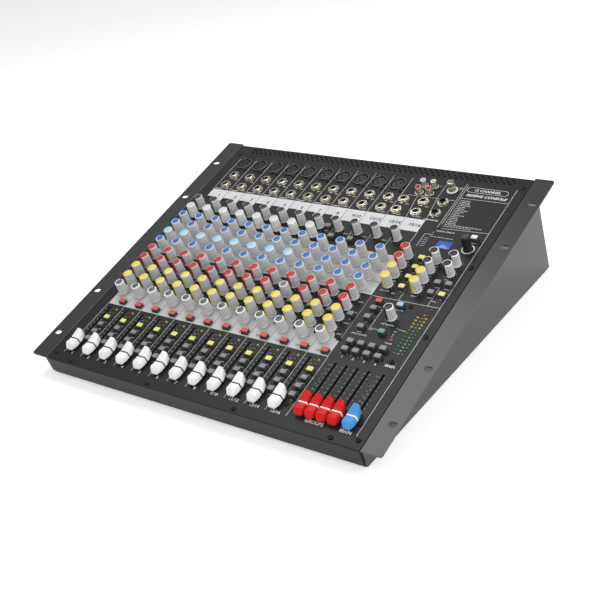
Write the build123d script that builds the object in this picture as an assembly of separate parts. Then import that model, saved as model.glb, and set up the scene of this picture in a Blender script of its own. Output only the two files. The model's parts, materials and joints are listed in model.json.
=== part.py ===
from build123d import *
import os
from math import atan2, cos, degrees, hypot, radians, sin

# Rack-mount mixing console, millimetres.
#
# Two frames are used.  Everything fixed to the control surface is drawn in the panel frame:
# X across, Y up the slope from the front edge of the rack ears, Z out of the top face.
# stand() then leans that frame back by PANEL_TILT and lifts it onto the feet.  In the row
# frame +Z is up, the feet stand on Z = 0 and the origin is the bottom centre of the whole.

# ------------------------------------------------------------------ case
PANEL_TILT = 14.45            # slope of the control surface, degrees
RACK_WIDTH = 482.6            # 19 inch rack standard
BODY_WIDTH = 434.0            # across the case, between the ears
EAR_DEPTH = 428.0             # ear length up the slope
CASE_REAR = 424.0             # outer face of the rear panel, up the slope
FRONT_HEIGHT = 24.4           # base plane to the top of the front edge
SIDE_FRONT = 1.4              # front edge of the side walls
PANEL_FRONT = -1.0            # front fold of the top panel
PANEL_LIP = 21.0              # depth of that fold
BASE_TAB = 7.6                # tab of the base sheet that takes the front screws
PANEL_OVERHANG = 0.8          # top panel past the rear panel
SHEET = 1.5                   # panel, rear panel and base sheet
SIDE_SHEET = 2.0              # side walls and ears
GAP = 0.2                     # between neighbouring sheets
BEND_RADIUS = 1.2
EAR_CORNER = 3.0

# ------------------------------------------------------------------ rack slots
RACK_SLOT_SPAN = 465.1        # centre to centre across
RACK_SLOT_LENGTH = 10.0
RACK_SLOT_WIDTH = 6.8
RACK_SLOT_FIRST = 39.0
RACK_SLOT_STEPS = (0.0, 76.2, 266.7, 342.9)

# ------------------------------------------------------------------ channel strips
STRIPS = 12
MONO_STRIPS = 8
STRIP_PITCH = 26.78
STRIP_START = -199.6          # left edge of the first strip
KNOB_IN_STRIP = 8.7
KNOB_ROW_FIRST = 121.2        # pan knobs, the front row
KNOB_ROW_PITCH = 16.93
FADER_IN_STRIP = 7.9
BUTTON_IN_STRIP = 20.4
LAMP_IN_STRIP = 19.7
JACK_IN_STRIP = 13.7
SHIFTED_JACK_IN_STRIP = 8.3   # the last two strips
SHIFTED_STRIPS = (10, 11)
SOCKET_IN_STRIP = 13.1
MIC_SOCKETS = 10
MIC_ROW = 386.2
JACK_ROWS = (360.0, 339.8)
MUTE_ROW = 105.4
ASSIGN_ROW = 75.5
ROUTE_ROWS = (63.5, 51.5, 39.5)
PRE_ROW = 161.5
CUT_BUTTON = (21.9, 290.2)    # beside the gain knob of a mono strip
LINE_BUTTON = (8.2, 274.4)    # in place of the compressor knob
LINE_BUTTON_STRIPS = (8, 9)
SIGNAL_LAMP_ROW = 92.4
PEAK_LAMP_ROW = 86.0

# ------------------------------------------------------------------ master section
GROUP_FADER_FIRST = 135.2
GROUP_FADER_PITCH = 13.39
GROUP_FADERS = 4
MAIN_FADER_X = 192.8
RED_MASTERS = ((132.1, 265.0), (132.1, 248.9))
YELLOW_MASTERS = ((132.1, 232.5), (132.1, 216.3), (168.2, 232.5), (168.2, 216.6))
DARK_MASTERS = ((168.2, 265.2), (168.2, 248.8), (192.3, 265.3), (192.3, 248.9))
PHONES_KNOB = (161.3, 170.3)
ENCODER = (193.6, 292.7)
ASSIGN_MASTERS = ((151.0, 263.8), (151.0, 247.6), (151.0, 231.2), (151.0, 215.0), (200.3, 214.3))
ROUTE_MASTERS = ((187.0, 231.0), (200.3, 231.4), (186.6, 214.8), (136.4, 176.4),
                 (136.4, 162.4), (136.4, 147.4), (137.2, 187.8), (163.2, 188.3),
                 (162.9, 146.3), (194.7, 308.8))
GROUP_BUTTON_SHIFT = 1.1
GROUP_BUTTON_ROWS = (124.6, 112.9)
METER_COLUMNS = (188.4, 198.0)
METER_FIRST = 125.0
METER_PITCH = 4.9
METER_LAMPS = 13
MASTER_LAMPS = ((150.3, 206.0), (199.5, 205.5), (198.0, 192.3), (174.8, 157.3))
MAIN_LAMP = (176.0, 140.8)
DISPLAY = (163.2, 293.6)
DISPLAY_SIZE = (18.0, 12.4)
PHONES_JACKS = ((127.8, 363.6), (127.8, 342.8))
PHONO_COLUMNS = (89.2, 103.2)
PHONO_ROWS = (390.5, 376.7)
LAMP_SOCKET = (128.3, 388.3)

# ------------------------------------------------------------------ knobs and pots
KNOB_HEIGHT = 18.0
KNOB_TOP_RADIUS = 5.7
KNOB_BASE_RADIUS = 6.2
KNOB_CLEARANCE = 0.9          # above the panel
KNOB_WALL = 4.0               # crown over the shaft
SHAFT_RADIUS = 3.0
SHAFT_GRIP = 0.02
SHAFT_PLAY = 0.05             # radial, in the pot's collar
SHAFT_DEPTH = 9.0
COLLAR_RADIUS = 4.2
COLLAR_PROUD = 0.3
COLLAR_HOLE = 4.4
POT_SIZE = (9.5, 11.0)
POT_TOP = -4.5
ENCODER_HEIGHT = 19.5
ENCODER_RADIUS = 5.2

# ------------------------------------------------------------------ faders
FADER_TRAVEL = 60.0
FADER_REST = 30.2             # lever centre with the cap at the bottom
FADER_SLOT_WIDTH = 2.6
FADER_END_PLAY = 2.6
LEVER_WIDTH = 1.2
LEVER_LENGTH = 4.0
LEVER_BOTTOM = -6.5
LEVER_TOP = 6.0
LEVER_GRIP = 0.02
TRACK_WIDTH = 9.0
TRACK_LENGTH = 77.0
TRACK_DEPTH = 7.5
TRACK_FLOOR = 0.6
CAP_LENGTH = 26.4
CAP_WIDTH = 12.8
CAP_END_WIDTH = 7.6
CAP_CROWN_WIDTH = 10.0
CAP_RIDGE_WIDTH = 2.4
CAP_BOTTOM = 2.4
CAP_FRONT_TOP = 10.2
CAP_MIDDLE_TOP = 9.2
CAP_REAR_TOP = 14.6

# ------------------------------------------------------------------ push buttons
BUTTON_SIZE = (7.8, 6.2)
MUTE_SIZE = (9.0, 6.2)
BUTTON_PROUD = 5.8
MUTE_PROUD = 4.8
BUTTON_DEPTH = 4.2
BUTTON_TRAVEL = 2.2
BUTTON_PLAY = 0.4
BUTTON_ROUND = 0.7
STEM = 3.0
STEM_PLAY = 0.15
STEM_LENGTH = 4.3
SWITCH_SIZE = 7.6
SWITCH_GAP = 0.4

# ------------------------------------------------------------------ sockets
MIC_BODY_RADIUS = 10.0
MIC_FLANGE_RADIUS = 11.2
MIC_FLANGE = 1.4
MIC_RING_OUTER = 9.1
MIC_RING_INNER = 7.7
MIC_RING_DEPTH = 12.0
MIC_PINS = ((-3.4, 1.7), (3.4, 1.7), (0.0, -3.4))
MIC_PIN_RADIUS = 1.3
MIC_LUGS = ((-9.3, 11.4), (9.3, -11.4))
MIC_LUG_RADIUS = 2.6
JACK_BORE = 3.3
JACK_BARREL = 4.6
JACK_PROUD = 3.0
JACK_SIZE = (14.6, 14.0)
NUT_ACROSS_FLATS = 12.6
NUT_HEIGHT = 2.2
THREAD_PLAY = 0.05
PHONO_RADIUS = 4.15
PHONO_LENGTH = 9.0
PHONO_WALL = 0.9
PHONO_PIN_BORE = 1.6
PHONO_FLANGE = 5.6
LAMP_RADIUS = 4.8
LAMP_LENGTH = 13.0
LAMP_BORE = 3.3
LAMP_WASHER = 6.9
LED_RADIUS = 1.5
MAIN_LED_RADIUS = 2.2
LED_PROUD = 1.3
LED_DEPTH = 5.0
HOLE_PLAY = 0.2               # radial, round every socket and lamp

# ------------------------------------------------------------------ boards, rails and screws
BOARD = 1.6
BOARD_TOP = -11.0
INPUT_BOARD_TOP = -21.0
RAIL_WIDTH = 12.0
RAIL_SHEET = 1.5
RAIL_START = 8.6
SCREW_HEAD = 2.8
SCREW_HEAD_HEIGHT = 1.6
SCREW_RADIUS = 1.5
SCREW_PLAY = 0.2
SCREW_LENGTH = 6.0
SPACER_RADIUS = 2.6
SIDE_SCREWS = ((-209.5, 11.2), (-207.5, 407.7), (210.2, 10.8), (210.2, 154.7),
               (210.2, 264.7), (210.2, 408.0))
LIP_SCREWS = ((-180.2, 5.0), (-60.1, 5.0), (61.3, 5.0), (181.6, 5.0))
BOARD_SCREWS = ((113.8, 28.8), (202.2, 29.4), (119.7, 126.6), (192.4, 112.7),
                (173.3, 191.8), (201.6, 304.0))

# ------------------------------------------------------------------ vents
VENT_RADIUS = 1.6
VENT_PITCH = 7.8
VENT_COUNT = 50
VENT_FIRST = -190.0
VENT_ROWS = (420.4, 416.2, 412.0)
BASE_VENT_LENGTH = 40.0
BASE_VENT_WIDTH = 4.0
BASE_VENTS = 12
BASE_VENT_PITCH = 12.0

# ------------------------------------------------------------------ rear and base
REAR_ROW = -48.0              # socket centres below the panel top, on the rear panel
REAR_MIC_X = (190.0, 158.0)
REAR_JACK_FIRST = 128.0
REAR_JACK_PITCH = -20.0
REAR_JACKS = 12
REAR_MIC_BORE = 9.3
REAR_MIC_DEPTH = 14.0
INLET_X = -178.0
INLET_FACE = (50.0, 24.0)
INLET_BODY = (28.0, 20.0)
INLET_CAVITY = (24.4, 16.6)
INLET_DEPTH = 16.0
INLET_LENGTH = 24.0
ROCKER_X = -138.0
ROCKER_RADIUS = 8.6
ROCKER_WIDTH = 11.0
ROCKER_PROUD = 3.0
ROCKER_PLAY = 0.4
ROCKER_THROW = 18.0           # degrees from off to on
ROCKER_HOUSING = (16.0, 24.0)
ROCKER_DEPTH = 17.0
FOOT_RADIUS = 9.0
FOOT_HEIGHT = 3.0
FOOT_INSET_X = 36.0
FOOT_INSET_Y = 34.0
TRANSFORMER_RADIUS = 40.0
TRANSFORMER_CORE = 14.0
TRANSFORMER_HEIGHT = 34.0
TRANSFORMER_X = -150.0
TRANSFORMER_REAR = 66.0
POWER_BOARD_SIZE = (130.0, 84.0)
POWER_BOARD_X = -20.0

# ------------------------------------------------------------------ worked-out places
LEAN = radians(PANEL_TILT)
HALF_BODY = BODY_WIDTH / 2
HALF_RACK = RACK_WIDTH / 2
EDGE_HEIGHT = FOOT_HEIGHT + FRONT_HEIGHT


def base_line(y):
    """Panel-frame Z of the base plane below the panel-frame place y."""
    return -(FRONT_HEIGHT + y * sin(LEAN)) / cos(LEAN)


FRONT_MOST = (PANEL_FRONT + BEND_RADIUS) * cos(LEAN) + BEND_RADIUS * sin(LEAN) - BEND_RADIUS
REAR_MOST = CASE_REAR * cos(LEAN) - base_line(CASE_REAR) * sin(LEAN)
CENTRE_Y = (FRONT_MOST + REAR_MOST) / 2


def strip_x(strip, inside):
    """X of a place inside a channel strip, counted from 0."""
    return STRIP_START + strip * STRIP_PITCH + inside


def knob_row(row):
    """Y of a knob row, 0 = pan at the front, 10 = gain at the back."""
    return KNOB_ROW_FIRST + row * KNOB_ROW_PITCH


def jack_x(strip):
    inside = SHIFTED_JACK_IN_STRIP if strip in SHIFTED_STRIPS else JACK_IN_STRIP
    return strip_x(strip, inside)


PAN_ROW, SWEEP_ROW, COMP_ROW, GAIN_ROW = 0, 6, 9, 10
FX_ROWS, AUX_ROWS, EQ_ROWS = (1, 2), (3, 4), (5, 7, 8)


def knob_places(rows, strips):
    return [(strip_x(s, KNOB_IN_STRIP), knob_row(r)) for r in rows for s in strips]


ALL_STRIPS = range(STRIPS)
GAIN_PLACES = knob_places([GAIN_ROW], ALL_STRIPS)
COMP_PLACES = knob_places([COMP_ROW], range(MONO_STRIPS))
EQ_PLACES = knob_places(EQ_ROWS, ALL_STRIPS) + knob_places([SWEEP_ROW], range(MONO_STRIPS, STRIPS))
SWEEP_PLACES = knob_places([SWEEP_ROW], range(MONO_STRIPS))
AUX_PLACES = knob_places(AUX_ROWS, ALL_STRIPS)
FX_PLACES = knob_places(FX_ROWS, ALL_STRIPS)
PAN_PLACES = knob_places([PAN_ROW], ALL_STRIPS)
MASTER_PLACES = list(RED_MASTERS + YELLOW_MASTERS + DARK_MASTERS)
POT_PLACES = (GAIN_PLACES + COMP_PLACES + EQ_PLACES + SWEEP_PLACES + AUX_PLACES + FX_PLACES
              + PAN_PLACES + MASTER_PLACES + [PHONES_KNOB, ENCODER])

FADER_X = [strip_x(s, FADER_IN_STRIP) for s in ALL_STRIPS]
GROUP_FADER_X = [GROUP_FADER_FIRST + g * GROUP_FADER_PITCH for g in range(GROUP_FADERS)]
ALL_FADER_X = FADER_X + GROUP_FADER_X + [MAIN_FADER_X]
SLOT_LENGTH = FADER_TRAVEL + LEVER_LENGTH + 2 * FADER_END_PLAY
SLOT_MIDDLE = FADER_REST + FADER_TRAVEL / 2

MUTE_PLACES = [(strip_x(s, BUTTON_IN_STRIP), MUTE_ROW) for s in ALL_STRIPS]
ASSIGN_PLACES = [(strip_x(s, BUTTON_IN_STRIP), ASSIGN_ROW) for s in ALL_STRIPS] + list(ASSIGN_MASTERS)
ROUTE_PLACES = [(strip_x(s, BUTTON_IN_STRIP), y) for y in ROUTE_ROWS + (PRE_ROW,) for s in ALL_STRIPS]
ROUTE_PLACES += [(x + GROUP_BUTTON_SHIFT, y) for y in GROUP_BUTTON_ROWS for x in GROUP_FADER_X]
ROUTE_PLACES += list(ROUTE_MASTERS)
ROUTE_PLACES += [(strip_x(s, CUT_BUTTON[0]), CUT_BUTTON[1]) for s in range(MONO_STRIPS)]
ROUTE_PLACES += [(strip_x(s, LINE_BUTTON[0]), LINE_BUTTON[1]) for s in LINE_BUTTON_STRIPS]

MIC_PLACES = [(strip_x(s, SOCKET_IN_STRIP), MIC_ROW) for s in range(MIC_SOCKETS)]
JACK_PLACES = [(jack_x(s), y) for y in JACK_ROWS for s in ALL_STRIPS] + list(PHONES_JACKS)
PHONO_PLACES = [(x, y) for x in PHONO_COLUMNS for y in PHONO_ROWS]
STRIP_LAMPS = [(strip_x(s, LAMP_IN_STRIP), y) for y in (SIGNAL_LAMP_ROW, PEAK_LAMP_ROW) for s in ALL_STRIPS]
METER_PLACES = [(x, METER_FIRST + METER_PITCH * i) for x in METER_COLUMNS for i in range(METER_LAMPS)]
SMALL_LAMPS = STRIP_LAMPS + METER_PLACES + list(MASTER_LAMPS)
REAR_JACK_X = [REAR_JACK_FIRST + REAR_JACK_PITCH * i for i in range(REAR_JACKS)]
RACK_SLOT_PLACES = [(side * RACK_SLOT_SPAN / 2, RACK_SLOT_FIRST + step)
                    for side in (-1, 1) for step in RACK_SLOT_STEPS]


# ------------------------------------------------------------------ helpers
def stand(shape):
    """Panel frame to row frame."""
    return Location((0, -CENTRE_Y, EDGE_HEIGHT), (PANEL_TILT, 0, 0)) * shape


def on_base(shape):
    """A shape drawn flat, y counted from the front edge line, to the row frame."""
    return Pos(0, -CENTRE_Y, 0) * shape


def on_rear(x, z, shape):
    """A shape drawn facing +Z to the outer face of the rear panel."""
    return Location((x, CASE_REAR, z), (-90, 0, 0)) * shape


def block(x, y, z_low, z_high, size):
    """A box on a panel place between two heights."""
    height = z_high - z_low
    box = Box(size[0], size[1], height, align=(Align.CENTER, Align.CENTER, Align.MIN))
    return Pos(x, y, z_low) * box


def rod(x, y, z_low, z_high, radius):
    """A cylinder on a panel place between two heights."""
    post = Cylinder(radius, z_high - z_low, align=(Align.CENTER, Align.CENTER, Align.MIN))
    return Pos(x, y, z_low) * post


def copies(pattern, places):
    """The same solids at each panel place."""
    return [Pos(x, y, 0) * solid for x, y in places for solid in pattern]


def holes(radius, places):
    return [Pos(x, y) * Circle(radius) for x, y in places]


def windows(size, places, play):
    return [Pos(x, y) * Rectangle(size[0] + 2 * play, size[1] + 2 * play) for x, y in places]


def write(name, solids, place=stand):
    """One node: every solid placed in the row frame and written as one STEP file."""
    placed = [place(solid) for solid in solids]
    shape = placed[0] if len(placed) == 1 else Compound(children=placed)
    shape.label = name
    export_step(shape, os.path.join("parts", name + ".step"))


# ------------------------------------------------------------------ case pieces
def top_panel():
    width = BODY_WIDTH - 2 * GAP
    depth = CASE_REAR + PANEL_OVERHANG - PANEL_FRONT
    sheet = Pos(0, PANEL_FRONT + depth / 2) * Rectangle(width, depth)
    openings = holes(COLLAR_HOLE, POT_PLACES)
    openings += [Pos(x, SLOT_MIDDLE) * Rectangle(FADER_SLOT_WIDTH, SLOT_LENGTH) for x in ALL_FADER_X]
    openings += windows(MUTE_SIZE, MUTE_PLACES, BUTTON_PLAY)
    openings += windows(BUTTON_SIZE, ASSIGN_PLACES + ROUTE_PLACES, BUTTON_PLAY)
    openings += holes(MIC_BODY_RADIUS + HOLE_PLAY, MIC_PLACES)
    openings += holes(JACK_BARREL + HOLE_PLAY, JACK_PLACES)
    openings += holes(PHONO_RADIUS + HOLE_PLAY, PHONO_PLACES)
    openings += holes(LAMP_RADIUS + HOLE_PLAY, [LAMP_SOCKET])
    openings += holes(LED_RADIUS + HOLE_PLAY, SMALL_LAMPS)
    openings += holes(MAIN_LED_RADIUS + HOLE_PLAY, [MAIN_LAMP])
    openings += windows(DISPLAY_SIZE, [DISPLAY], HOLE_PLAY)
    openings += holes(SCREW_RADIUS + SCREW_PLAY, SIDE_SCREWS + LIP_SCREWS + BOARD_SCREWS)
    openings += holes(SCREW_RADIUS + SCREW_PLAY, mic_screw_places())
    for row, y in enumerate(VENT_ROWS):
        shift = VENT_PITCH / 2 if row == 1 else 0
        openings += holes(VENT_RADIUS, [(VENT_FIRST + shift + VENT_PITCH * i, y) for i in range(VENT_COUNT)])
    plate = extrude(sheet - openings, -SHEET)
    lip = block(0, PANEL_FRONT + SHEET / 2, -PANEL_LIP, -SHEET / 2, (width, SHEET))
    panel = plate + lip
    fold = panel.edges().filter_by(Axis.X).sort_by(Axis.Y)[:2].sort_by(Axis.Z)[-1:]
    return fillet(fold, BEND_RADIUS)


def side_plate(side):
    """Side wall with its rack ear folded outwards at the top."""
    outline = [(SIDE_FRONT, 0), (CASE_REAR, 0), (CASE_REAR, base_line(CASE_REAR)),
               (SIDE_FRONT, base_line(SIDE_FRONT))]
    wall = extrude(Plane.YZ.offset(HALF_BODY) * make_face(Polyline(*outline, close=True)), SIDE_SHEET)
    ear_width = HALF_RACK - HALF_BODY
    ear = RectangleRounded(ear_width + EAR_CORNER, EAR_DEPTH, EAR_CORNER)
    ear = Pos(HALF_RACK - (ear_width + EAR_CORNER) / 2, EAR_DEPTH / 2) * ear
    ear &= Pos(HALF_BODY + ear_width / 2, EAR_DEPTH / 2) * Rectangle(ear_width, EAR_DEPTH)
    slots = [Pos(x, y) * SlotOverall(RACK_SLOT_LENGTH, RACK_SLOT_WIDTH) for x, y in RACK_SLOT_PLACES if x > 0]
    plate = wall + extrude(ear - slots, -SIDE_SHEET)
    top_edges = plate.edges().filter_by(Axis.Y).filter_by(lambda e: e.center().Z > -0.01)
    plate = fillet(top_edges.sort_by(Axis.X)[:1], BEND_RADIUS)
    return plate if side > 0 else mirror(plate, Plane.YZ)


def bottom_plate():
    """Base sheet with a front lip turned up behind the top panel's fold."""
    front = PANEL_FRONT + SHEET + GAP
    rear = CASE_REAR - SHEET - GAP
    rise = SHEET / cos(LEAN)
    under = -SHEET - GAP / 2
    tab = front + BASE_TAB
    outline = [(front, base_line(front)), (rear, base_line(rear)), (rear, base_line(rear) + rise),
               (front + SHEET, base_line(front + SHEET) + rise), (front + SHEET, under - SHEET),
               (tab, under - SHEET), (tab, under), (front, under)]
    width = BODY_WIDTH - 2 * GAP
    sheet = extrude(Plane.YZ.offset(-width / 2) * make_face(Polyline(*outline, close=True)), width)
    drills = [rod(x, y, -SHEET * 4, 0, SCREW_RADIUS + SHAFT_PLAY) for x, y in LIP_SCREWS]
    return stand(sheet - drills) - [on_base(cut) for cut in base_vents()] - [on_base(c) for c in foot_drills()]


def base_vents():
    start = -BASE_VENT_PITCH * (BASE_VENTS - 1) / 2
    slot = extrude(SlotOverall(BASE_VENT_LENGTH, BASE_VENT_WIDTH, rotation=90), SHEET * 4)
    return [Pos(start + BASE_VENT_PITCH * i, y, 0) * slot for i in range(BASE_VENTS) for y in (150.0, 300.0)]


def foot_places():
    rear = REAR_MOST - FOOT_INSET_Y
    return [(side * (HALF_BODY - FOOT_INSET_X), y) for side in (-1, 1) for y in (FOOT_INSET_Y, rear)]


def foot_drills():
    return [rod(x, y, 0, FOOT_HEIGHT + SHEET * 2, SCREW_RADIUS + SHAFT_PLAY) for x, y in foot_places()]


def rubber_feet():
    foot = rod(0, 0, 0, FOOT_HEIGHT, FOOT_RADIUS)
    foot = chamfer(foot.edges().sort_by(Axis.Z)[:1], 0.8)
    foot -= rod(0, 0, 1.2, FOOT_HEIGHT, SCREW_RADIUS + SHAFT_PLAY)
    return copies([foot], foot_places())


def foot_screws():
    """Each foot is held from inside the case."""
    top = FOOT_HEIGHT + SHEET
    screw = rod(0, 0, 1.4, top, SCREW_RADIUS) + rod(0, 0, top, top + SCREW_HEAD_HEIGHT, SCREW_HEAD)
    return copies([screw], foot_places())


def rear_panel():
    low = base_line(CASE_REAR - SHEET) + SHEET / cos(LEAN) + GAP
    high = -SHEET - GAP / 2
    width = BODY_WIDTH - 2 * GAP
    panel = Pos(0, CASE_REAR - SHEET / 2, (low + high) / 2) * Box(width, SHEET, high - low)
    cuts = [on_rear(x, REAR_ROW, rod(0, 0, -SHEET * 2, 1, JACK_BARREL + HOLE_PLAY)) for x in REAR_JACK_X]
    cuts += [on_rear(x, REAR_ROW, rod(0, 0, -SHEET * 2, 1, MIC_BODY_RADIUS + 1 + HOLE_PLAY)) for x in REAR_MIC_X]
    inlet = (INLET_BODY[0] + 2 * HOLE_PLAY, INLET_BODY[1] + 2 * HOLE_PLAY)
    cuts += [on_rear(INLET_X, REAR_ROW, block(0, 0, -SHEET * 2, 1, inlet))]
    rocker = (ROCKER_HOUSING[0] + 2 * HOLE_PLAY, ROCKER_HOUSING[1] + 2 * HOLE_PLAY)
    cuts += [on_rear(ROCKER_X, REAR_ROW, block(0, 0, -SHEET * 2, 1, rocker))]
    return panel - cuts


def support_frame():
    """Two side rails that the top panel screws to, and the spacers that hold the boards."""
    low = -SHEET - GAP / 2 - RAIL_WIDTH
    high = -SHEET - GAP / 2
    start, end = RAIL_START, CASE_REAR - SHEET - 2.0
    outer = HALF_BODY - GAP
    middle = (start + end) / 2
    rails = []
    for side in (-1, 1):
        leg = block(side * (outer - RAIL_SHEET / 2), middle, low, high, (RAIL_SHEET, end - start))
        shelf = block(side * (outer - RAIL_WIDTH / 2), middle, high - RAIL_SHEET, high, (RAIL_WIDTH, end - start))
        taps = [rod(x, y, low, high, SCREW_RADIUS + SHAFT_PLAY) for x, y in SIDE_SCREWS if x * side > 0]
        rails.append(leg + shelf - taps)
    spacer = rod(0, 0, BOARD_TOP, high, SPACER_RADIUS) - rod(0, 0, BOARD_TOP, high, SCREW_RADIUS + SHAFT_PLAY)
    return rails + copies([spacer], BOARD_SCREWS)


def mic_screw_places():
    return [(x + dx, y + dy) for x, y in MIC_PLACES for dx, dy in MIC_LUGS]


def screw(head, height, length, seat=0.0):
    return rod(0, 0, seat, seat + height, head) + rod(0, 0, seat - length, seat, SCREW_RADIUS)


def case_screws():
    side = screw(SCREW_HEAD, SCREW_HEAD_HEIGHT, SCREW_LENGTH)
    board = screw(SCREW_HEAD, SCREW_HEAD_HEIGHT, -BOARD_TOP + BOARD)
    small = screw(SCREW_HEAD * 0.7, SCREW_HEAD_HEIGHT * 0.6, SCREW_LENGTH * 0.8, MIC_FLANGE)
    return (copies([side], SIDE_SCREWS + LIP_SCREWS) + copies([board], BOARD_SCREWS)
            + copies([small], mic_screw_places()))


# ------------------------------------------------------------------ inside
def circuit_boards():
    """Fader, channel, master and input boards."""
    left, right = -HALF_BODY + 16.0, HALF_BODY - 16.0
    split = STRIP_START + STRIPS * STRIP_PITCH + 2.0
    areas = [(left, right, 16.0, 109.0, BOARD_TOP), (left, split - 0.5, 110.0, 322.0, BOARD_TOP),
             (split + 0.5, right, 110.0, 322.0, BOARD_TOP), (left, 141.0, 325.0, 402.0, INPUT_BOARD_TOP)]
    drills = [rod(x, y, BOARD_TOP - BOARD * 2, 0, SCREW_RADIUS + SHAFT_PLAY) for x, y in BOARD_SCREWS]
    boards = []
    for x0, x1, y0, y1, top in areas:
        sheet = block((x0 + x1) / 2, (y0 + y1) / 2, top - BOARD, top, (x1 - x0, y1 - y0))
        boards.append(sheet - drills)
    return boards


def potentiometers():
    body = block(0, 0, BOARD_TOP, POT_TOP, POT_SIZE) + rod(0, 0, POT_TOP, COLLAR_PROUD, COLLAR_RADIUS)
    body -= rod(0, 0, -SHAFT_DEPTH - 0.3, COLLAR_PROUD, SHAFT_RADIUS + SHAFT_PLAY)
    return copies([body], POT_PLACES)


def fader_tracks():
    top = -SHEET - GAP / 2
    body = block(0, SLOT_MIDDLE, top - TRACK_DEPTH, top, (TRACK_WIDTH, TRACK_LENGTH))
    body -= block(0, SLOT_MIDDLE, top - TRACK_DEPTH + TRACK_FLOOR, top, (FADER_SLOT_WIDTH, SLOT_LENGTH))
    return copies([body], [(x, 0) for x in ALL_FADER_X])


def switch_bodies():
    top = -BUTTON_DEPTH - BUTTON_TRAVEL - SWITCH_GAP
    bore = STEM + 2 * STEM_PLAY
    body = block(0, 0, BOARD_TOP, top, (SWITCH_SIZE, SWITCH_SIZE)) - block(0, 0, BOARD_TOP, top, (bore, bore))
    return copies([body], MUTE_PLACES + ASSIGN_PLACES + ROUTE_PLACES)


def mains_transformer():
    """Toroid bolted to the base through a dished washer."""
    floor = FOOT_HEIGHT + SHEET
    y = REAR_MOST - TRANSFORMER_REAR
    ring = rod(0, 0, floor, floor + TRANSFORMER_HEIGHT, TRANSFORMER_RADIUS)
    ring -= rod(0, 0, floor, floor + TRANSFORMER_HEIGHT, TRANSFORMER_CORE)
    ring = fillet(ring.edges().sort_by(Axis.Z)[-2:], 5.0)
    washer_top = floor + TRANSFORMER_HEIGHT + 2.0
    washer = rod(0, 0, washer_top - 2.0, washer_top, TRANSFORMER_CORE + 12.0)
    bolt = rod(0, 0, floor, washer_top, 3.0) + rod(0, 0, washer_top, washer_top + 5.0, 5.5)
    washer -= rod(0, 0, washer_top - 3.0, washer_top + 1.0, 3.05)
    return [Pos(TRANSFORMER_X, y, 0) * solid for solid in (ring, washer, bolt)]


def power_board():
    """Supply board with its smoothing capacitors and a heat sink, on four pillars."""
    floor = FOOT_HEIGHT + SHEET
    deck = floor + 8.0
    length, width = POWER_BOARD_SIZE
    y = REAR_MOST - TRANSFORMER_REAR
    corners = [(sx * (length / 2 - 6), sy * (width / 2 - 6)) for sx in (-1, 1) for sy in (-1, 1)]
    board = block(0, 0, deck, deck + BOARD, (length, width))
    cans = [rod(-45 + 22 * i, 20, deck + BOARD, deck + BOARD + 25, 9) for i in range(4)]
    sink = block(0, -22, deck + BOARD, deck + BOARD + 28, (80, 4))
    fins = [block(-36 + 12 * i, -30, deck + BOARD + 2, deck + BOARD + 28, (2, 14)) for i in range(7)]
    pillars = [rod(cx, cy, floor, deck, 3) for cx, cy in corners]
    solids = [board, sink + fins] + cans + pillars
    return [Pos(POWER_BOARD_X, y, 0) * solid for solid in solids]


# ------------------------------------------------------------------ sockets, lamps and display
def mic_socket():
    body = rod(0, 0, INPUT_BOARD_TOP, 0, MIC_BODY_RADIUS) + rod(0, 0, 0, MIC_FLANGE, MIC_FLANGE_RADIUS)
    for dx, dy in MIC_LUGS:
        body += rod(dx, dy, 0, MIC_FLANGE, MIC_LUG_RADIUS)
    lug_turn = degrees(atan2(MIC_LUGS[0][1], MIC_LUGS[0][0]))
    lug_span = 2 * hypot(*MIC_LUGS[0])
    body += Rot(0, 0, lug_turn) * block(0, 0, 0, MIC_FLANGE, (lug_span, 2 * MIC_LUG_RADIUS))
    ring = rod(0, 0, MIC_FLANGE - MIC_RING_DEPTH, MIC_FLANGE, MIC_RING_OUTER)
    ring -= rod(0, 0, MIC_FLANGE - MIC_RING_DEPTH, MIC_FLANGE, MIC_RING_INNER)
    pins = [rod(x, y, MIC_FLANGE - MIC_RING_DEPTH, MIC_FLANGE, MIC_PIN_RADIUS) for x, y in MIC_PINS]
    drills = [rod(x, y, -1, MIC_FLANGE, SCREW_RADIUS + SHAFT_PLAY) for x, y in MIC_LUGS]
    return body - ring - pins - drills


def mic_sockets():
    return copies([mic_socket()], MIC_PLACES)


def jack_body(bottom):
    top = -SHEET - GAP / 2
    body = block(0, 0, bottom, top, JACK_SIZE) + rod(0, 0, top, JACK_PROUD, JACK_BARREL)
    return body - rod(0, 0, bottom + 1.5, JACK_PROUD, JACK_BORE)


def jack_sockets():
    return copies([jack_body(INPUT_BOARD_TOP)], JACK_PLACES)


def jack_nut():
    radius = NUT_ACROSS_FLATS / 2 / cos(radians(30))
    nut = extrude(RegularPolygon(radius, 6), NUT_HEIGHT)
    return nut - rod(0, 0, 0, NUT_HEIGHT, JACK_BARREL + THREAD_PLAY)


def jack_nuts():
    """Nuts of the top and the rear sockets."""
    rear = [on_rear(x, REAR_ROW, jack_nut()) for x in REAR_JACK_X]
    return copies([jack_nut()], JACK_PLACES) + rear


def phono_sockets():
    """Metal shell and the coloured insulator in it."""
    shell = rod(0, 0, -8.0, PHONO_LENGTH, PHONO_RADIUS) + rod(0, 0, 0, 1.0, PHONO_FLANGE)
    shell -= rod(0, 0, -6.0, PHONO_LENGTH, PHONO_RADIUS - PHONO_WALL)
    core = rod(0, 0, -5.9, PHONO_LENGTH - 0.4, PHONO_RADIUS - PHONO_WALL - THREAD_PLAY)
    core -= rod(0, 0, -4.0, PHONO_LENGTH, PHONO_PIN_BORE)
    return copies([shell, core], PHONO_PLACES)


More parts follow.
